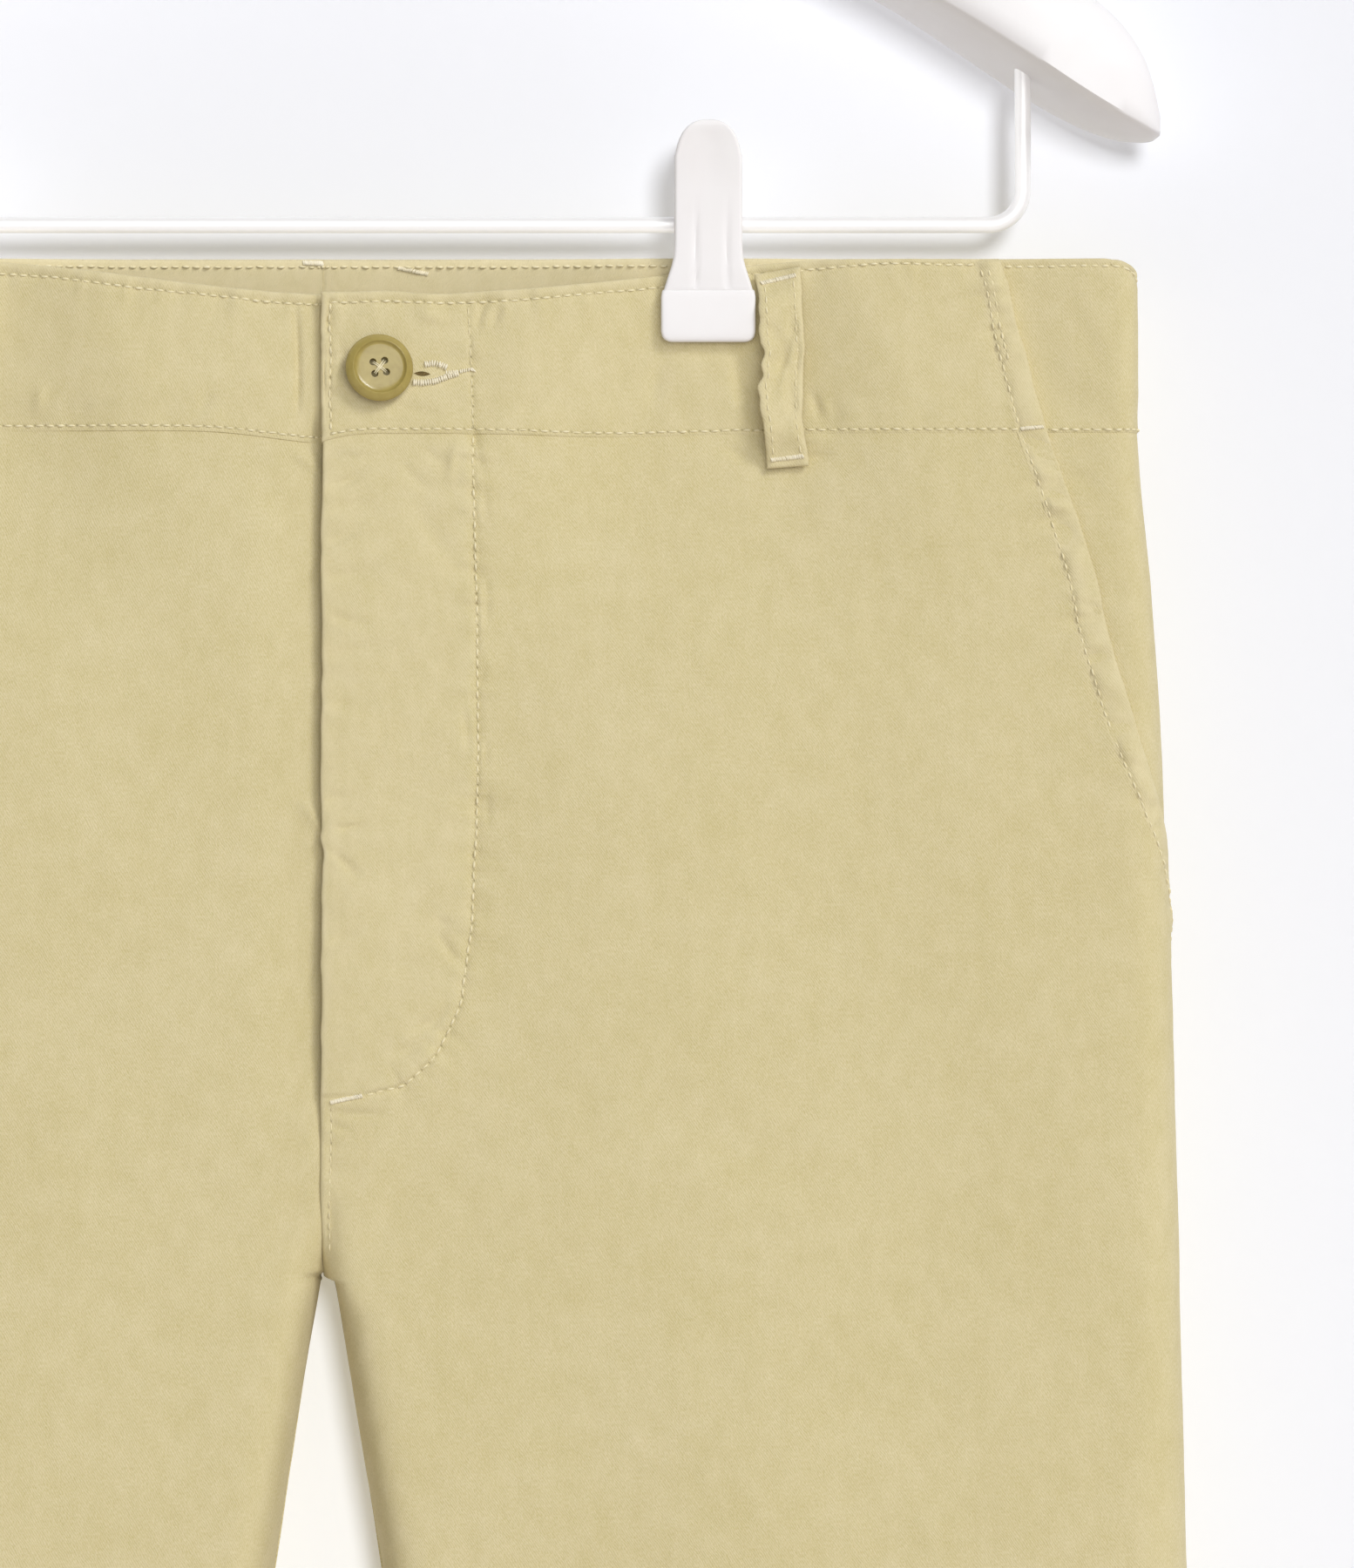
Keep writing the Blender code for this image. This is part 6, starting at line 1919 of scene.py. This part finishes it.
# A clip's jaw from its finger tab to its pad: height above the waistband, half width, inside, thickness.
JAW = (
    (36.1, 1.4, 10.0, 1.0), (35.9, 2.6, 10.0, 1.5), (35.3, 4.1, 9.8, 2.0), (34.3, 5.5, 9.6, 2.2),
    (32.9, 6.7, 9.2, 2.3), (31.2, 7.6, 8.7, 2.4), (29.0, 8.3, 8.1, 2.4), (27.2, 8.7, 7.7, 2.4),
    (26.8, 8.9, 7.6, 2.4), (22.5, 8.9, 6.6, 2.4), (18.0, 8.9, 5.6, 2.4), (13.0, 8.9, 5.0, 2.5),
    (9.2, 8.9, 4.4, 2.6), (4.0, 8.9, 4.1, 2.6), (0.5, 9.1, 3.8, 2.6), (-2.0, 9.7, 3.7, 2.6),
    (-5.0, 10.7, 3.4, 2.6), (-7.2, 11.4, 3.0, 2.6), (-8.0, 11.6, 2.9, 2.6), (-8.3, 12.1, 2.4, 2.9),
    (-8.9, 12.2, 2.4, 3.4), (-10.0, 12.4, 2.4, 3.5), (-15.0, 12.4, 2.4, 3.5), (-19.0, 12.4, 2.4, 3.4),
    (-20.3, 12.1, 2.4, 3.3), (-21.1, 11.5, 2.4, 3.1), (-21.6, 10.5, 2.4, 2.7), (-21.7, 9.8, 2.4, 2.4),
)


@dataclass
class Clip:
    """A sprung clip on the bar: two moulded jaws and a wound spring."""

    form: ShortsForm
    side: Side
    x: float = 0.1005
    bar_height: float = 0.0092
    spring_radius: float = 0.0036
    spring_length: float = 0.0105
    coil_wire: float = 0.0005
    turns: int = 9

    def outline(self, height: float, half: float, inside: float, thick: float) -> Array:
        """One section of a jaw, with rounded edges, two grooves and a dished finger tab."""
        outside = inside + thick
        rounding = min(0.0009, thick * 0.42, half * 0.5)
        corner = np.linspace(0, RIGHT_ANGLE, 5)
        side, edge = (rounding * (1 - turn) for turn in (np.cos(corner), np.sin(corner)))
        right = np.stack([half - side, outside - edge], -1)
        across = np.linspace(half - rounding, -half + rounding, 25)[1:-1]
        grooved = 0.0005 if -0.0078 < height < 0.0095 else 0.0
        dish = 0.0004 * float(ease((height - 0.017) / 0.006) * fall((height - 0.032) / 0.003))
        grooves = grooved * (bell(across - 0.0049, 0.0006) + bell(across + 0.0033, 0.0006))
        front = np.stack([across, outside - grooves - dish * bell(across, 0.0048)], -1)
        near = np.array([(-half + 0.0002, inside), (0.0, inside), (half - 0.0002, inside)])
        return np.concatenate([right, front, right[::-1] * (-1, 1), near])

    def jaw(self, face: Face) -> bpy.types.Object:
        """Builds one jaw."""
        rings = []
        for row in JAW:
            height, *sizes = (value * MM for value in row)
            x, y = self.outline(height, *sizes).T
            rings.append(stacked(int(self.side) * self.x + x, int(face) * y, self.form.waist_top_z + height))
        word = f"{self.side.name.lower()}_jaw_{face.name.lower()}"
        obj = loft_piece(f"moulded_{word}", np.array(rings), PLASTIC, 35.0)
        return ride(obj, "hanger_plastic", f"clip_{word}")

    def spring(self) -> bpy.types.Object:
        """Builds the wound spring round the bar."""
        t = np.linspace(0, 1, self.turns * 24)
        angle = t * self.turns * math.tau
        middle = np.array([int(self.side) * self.x, 0, self.form.waist_top_z + self.bar_height])
        axis = middle + stacked((t - 0.5) * self.spring_length, 0.0)
        path = axis + self.spring_radius * stacked(0.0, np.cos(angle), np.sin(angle))
        ahead = unit(np.gradient(path, axis=0))
        out = unit(path - axis)
        aside = np.cross(ahead, out)
        ring = np.linspace(0, math.tau, 8, endpoint=False)[None, :, None]
        rings = path[:, None] + self.coil_wire * (out[:, None] * np.cos(ring) + aside[:, None] * np.sin(ring))
        obj = loft_piece(f"wound_spring_{self.side.name.lower()}", rings, STEEL, 60.0)
        return ride(obj, "spring_steel", f"clip_{self.side.name.lower()}_spring")

    def build(self) -> None:
        """Builds both jaws and the spring."""
        self.jaw(Face.FRONT)
        self.jaw(Face.BACK)
        self.spring()


# --------------------------------------------------------------- the studio
@dataclass
class Studio:
    """A pale wall and floor, soft lights, and the camera."""

    form: ShortsForm
    wall_y: float = 0.0285
    floor_z: float = -0.86
    lens: float = 200.0
    view_x: float = 0.0923
    view_depth: float = 0.1375
    view_half_height: float = 0.2052
    plane_y: float = -0.006

    def plane(self, name: str, corners: Sequence[Sequence[float]], finish: Finish) -> bpy.types.Object:
        """One flat sheet of the set."""
        obj = mesh_piece(name, np.array(corners), [[0, 1, 2, 3]], finish)
        return obj

    def light(
        self, name: str, toward: tuple[float, float, float], spread: float, strength: float,
        subject: bpy.types.Object | None = None, flag: Flag = Flag.OFF,
    ) -> bpy.types.Object:
        """A soft light, far enough off to fall evenly.

        Args:
            name: The light's name.
            toward: The way to the light.
            spread: How wide it looks from the garment, in degrees.
            strength: Its strength.
            subject: A piece that its flag is for.
            flag: Whether the light misses that piece, or lights it alone.

        Returns:
            The light.
        """
        data = bpy.data.lights.new(name, "SUN")
        data.angle = math.radians(spread)
        data.energy = strength
        obj = bpy.data.objects.new(name, data)
        obj.rotation_euler = Vector(toward).to_track_quat("Z", "Y").to_euler()
        bpy.context.scene.collection.objects.link(obj)
        if subject:
            flags = bpy.data.collections.new(f"{name}_flags")
            flags.objects.link(subject)
            obj.light_linking.receiver_collection = flags
            flags.collection_objects[0].light_linking.link_state = flag.value
        return obj

    def build(self, bar: bpy.types.Object) -> None:
        """Builds the set, the lights and the camera; cards below and beside light the hanger's bar."""
        scene = bpy.context.scene
        scene.view_settings.view_transform = "Standard"
        y, z = self.wall_y, self.floor_z
        wall = self.plane("studio_wall", ((-4, y, z), (4, y, z), (4, y, 3), (-4, y, 3)),
                          WallPaint("backlit_panel", base="#f0f3fb", dark="#eff2fa"))
        wall.visible_shadow = False
        self.plane("studio_floor", ((-4, -6, z), (4, -6, z), (4, 6, z), (-4, 6, z)),
                   WallPaint("floor_paint", base="#dcd5d1", dark="#dad3cf", one_sided=False))
        world = bpy.data.worlds.new("studio_air")
        world.use_nodes = True
        sky = world.node_tree.nodes["Background"]
        sky.inputs["Color"].default_value = (1.0, 1.0, 1.0, 1.0)
        sky.inputs["Strength"].default_value = 0.15
        scene.world = world
        self.light("key", (0.36, -2.4, 0.40), 46.0, 1.64, wall)
        self.light("wall_key", (0.36, -2.4, 0.38), 11.0, 1.62, wall, Flag.ONLY)
        self.light("grazing", (1.15, -1.5, 1.35), 18.0, 1.35, wall)
        for name, toward, strength in (
            ("card_below", (0.0, -0.45, -0.9), 1.25), ("card_beside", (-0.9, -0.40, 0.0), 0.9),
        ):
            card = self.light(name, toward, 60.0, strength, bar, Flag.ONLY)
            # Nothing else stands between the card and the bar.
            card.light_linking.blocker_collection = card.light_linking.receiver_collection
        self.light("back_left", (-0.9, 2.2, 0.6), 30.0, 0.35)
        self.light("back_right", (0.9, 2.2, 0.5), 30.0, 0.25)
        data = bpy.data.cameras.new("camera")
        data.lens = self.lens
        data.sensor_width = 36.0
        data.clip_start, data.clip_end = 0.05, 30.0
        camera = bpy.data.objects.new("camera", data)
        away = self.view_half_height * self.lens / 18.0
        camera.location = (self.view_x, self.plane_y - away, self.form.waist_top_z - self.view_depth)
        camera.rotation_euler = (RIGHT_ANGLE, 0.0, 0.0)
        scene.collection.objects.link(camera)
        scene.camera = camera


# --------------------------------------------------------------- all of it
# Tacks inside the back waistband, by X and depth.
INNER_TACKS = {
    Side.LEFT: ((0.0189, 0.0018), (0.0268, 0.0034)),
    Side.RIGHT: ((0.0004, 0.0007), (0.0060, 0.0004)),
}


def sew_side(form: ShortsForm, side: Side, threads: Sequence[Sewing]) -> FrontBand:
    """Builds all the cloth of one side, but its belt loops.

    Args:
        form: The surface that it lies on.
        side: The wearer's side.
        threads: The stitches of the fronts, the backs and the waistband, and the tacks.

    Returns:
        The front waistband.
    """
    front_sewing, back_sewing, band_sewing, tacks = threads
    front, back, hip = FrontPanel(form, side), BackPanel(form, side), HipFacing(form, side)
    band, back_band = FrontBand(form, side, front=front), BackBand(form, side, hip=hip, back=back)
    edge = PocketEdge(form, side, front=front, band=band)
    front.drawn += edge.seams
    band.drawn += edge.seams
    for piece in (front, back, band, back_band, edge, hip, PocketBag(form, side), Hem(form, side)):
        piece.build()
    for piece, sewing in (
        (front, front_sewing), (edge, front_sewing), (back, back_sewing), (band, band_sewing),
    ):
        for seam in piece.seams:
            sewing.seam(piece.place, seam)
    for seam in back_band.seams:
        band_sewing.seam(back_band.place, seam)
        band_sewing.seam(back_band.inner_place, seam)
    across = float(form.pocket_reach(0.0445))
    tacks.tack(edge.place, (across - 0.0068, 0.0447), (across - 0.0006, 0.0441), 0.0011)
    ends = (back_band.spot(x, depth, Face.BACK) for x, depth in INNER_TACKS[side])
    tacks.tack(back_band.inner_place, *ends, 0.0013)
    if side == Side.LEFT:
        tacks.tack(front.place, front.spot(0.0021, 0.2205), front.spot(0.0103, 0.2187), 0.0012)
    return band


def main() -> None:
    """Builds the shorts, the hanger and the studio, in order."""
    logging.basicConfig(level=logging.INFO, format="%(message)s")
    form = ShortsForm()
    threads = [Sewing(f"stitches_{part}", THREAD) for part in ("front", "back", "waistband")]
    tacks = Sewing("bar_tacks", TACK_THREAD)
    threads.append(tacks)
    bands = {side: sew_side(form, side, threads) for side in Side}
    band_sewing = threads[2]
    for seed, (name, side, face, x, lean) in enumerate((
        ("front_left", Side.LEFT, Face.FRONT, 0.1186, 0.0027),
        ("front_right", Side.RIGHT, Face.FRONT, 0.1186, 0.0027),
        ("back_left", Side.LEFT, Face.BACK, 0.1190, 0.0),
        ("back_right", Side.RIGHT, Face.BACK, 0.1190, 0.0),
        ("centre_back", Side.LEFT, Face.BACK, 0.0, 0.0),
    ), start=1):
        BeltLoop(form, f"belt_loop_{name}", side, face, x, lean, seed).build(band_sewing, tacks)
    WaistButton(form, bands[Side.LEFT]).build(band_sewing)
    Buttonhole(form, bands[Side.LEFT]).build(tacks)
    coils = Sewing("zip_coils", THREAD)
    FlyZip(form).build(coils)
    coils.finish_mesh("zip_tape")
    for sewing in threads:
        sewing.finish_mesh()
    bar = Hanger(form).build()
    for side in Side:
        Clip(form, side).build()
    Studio(form).build(bar)
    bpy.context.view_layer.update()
    shown = [o.data for o in bpy.data.objects if o.type == "MESH" and not o.hide_render]
    LOG.info("triangles in all: %d", sum(len(m.loops) - 2 * len(m.polygons) for m in shown))


if __name__ == "__main__":
    main()
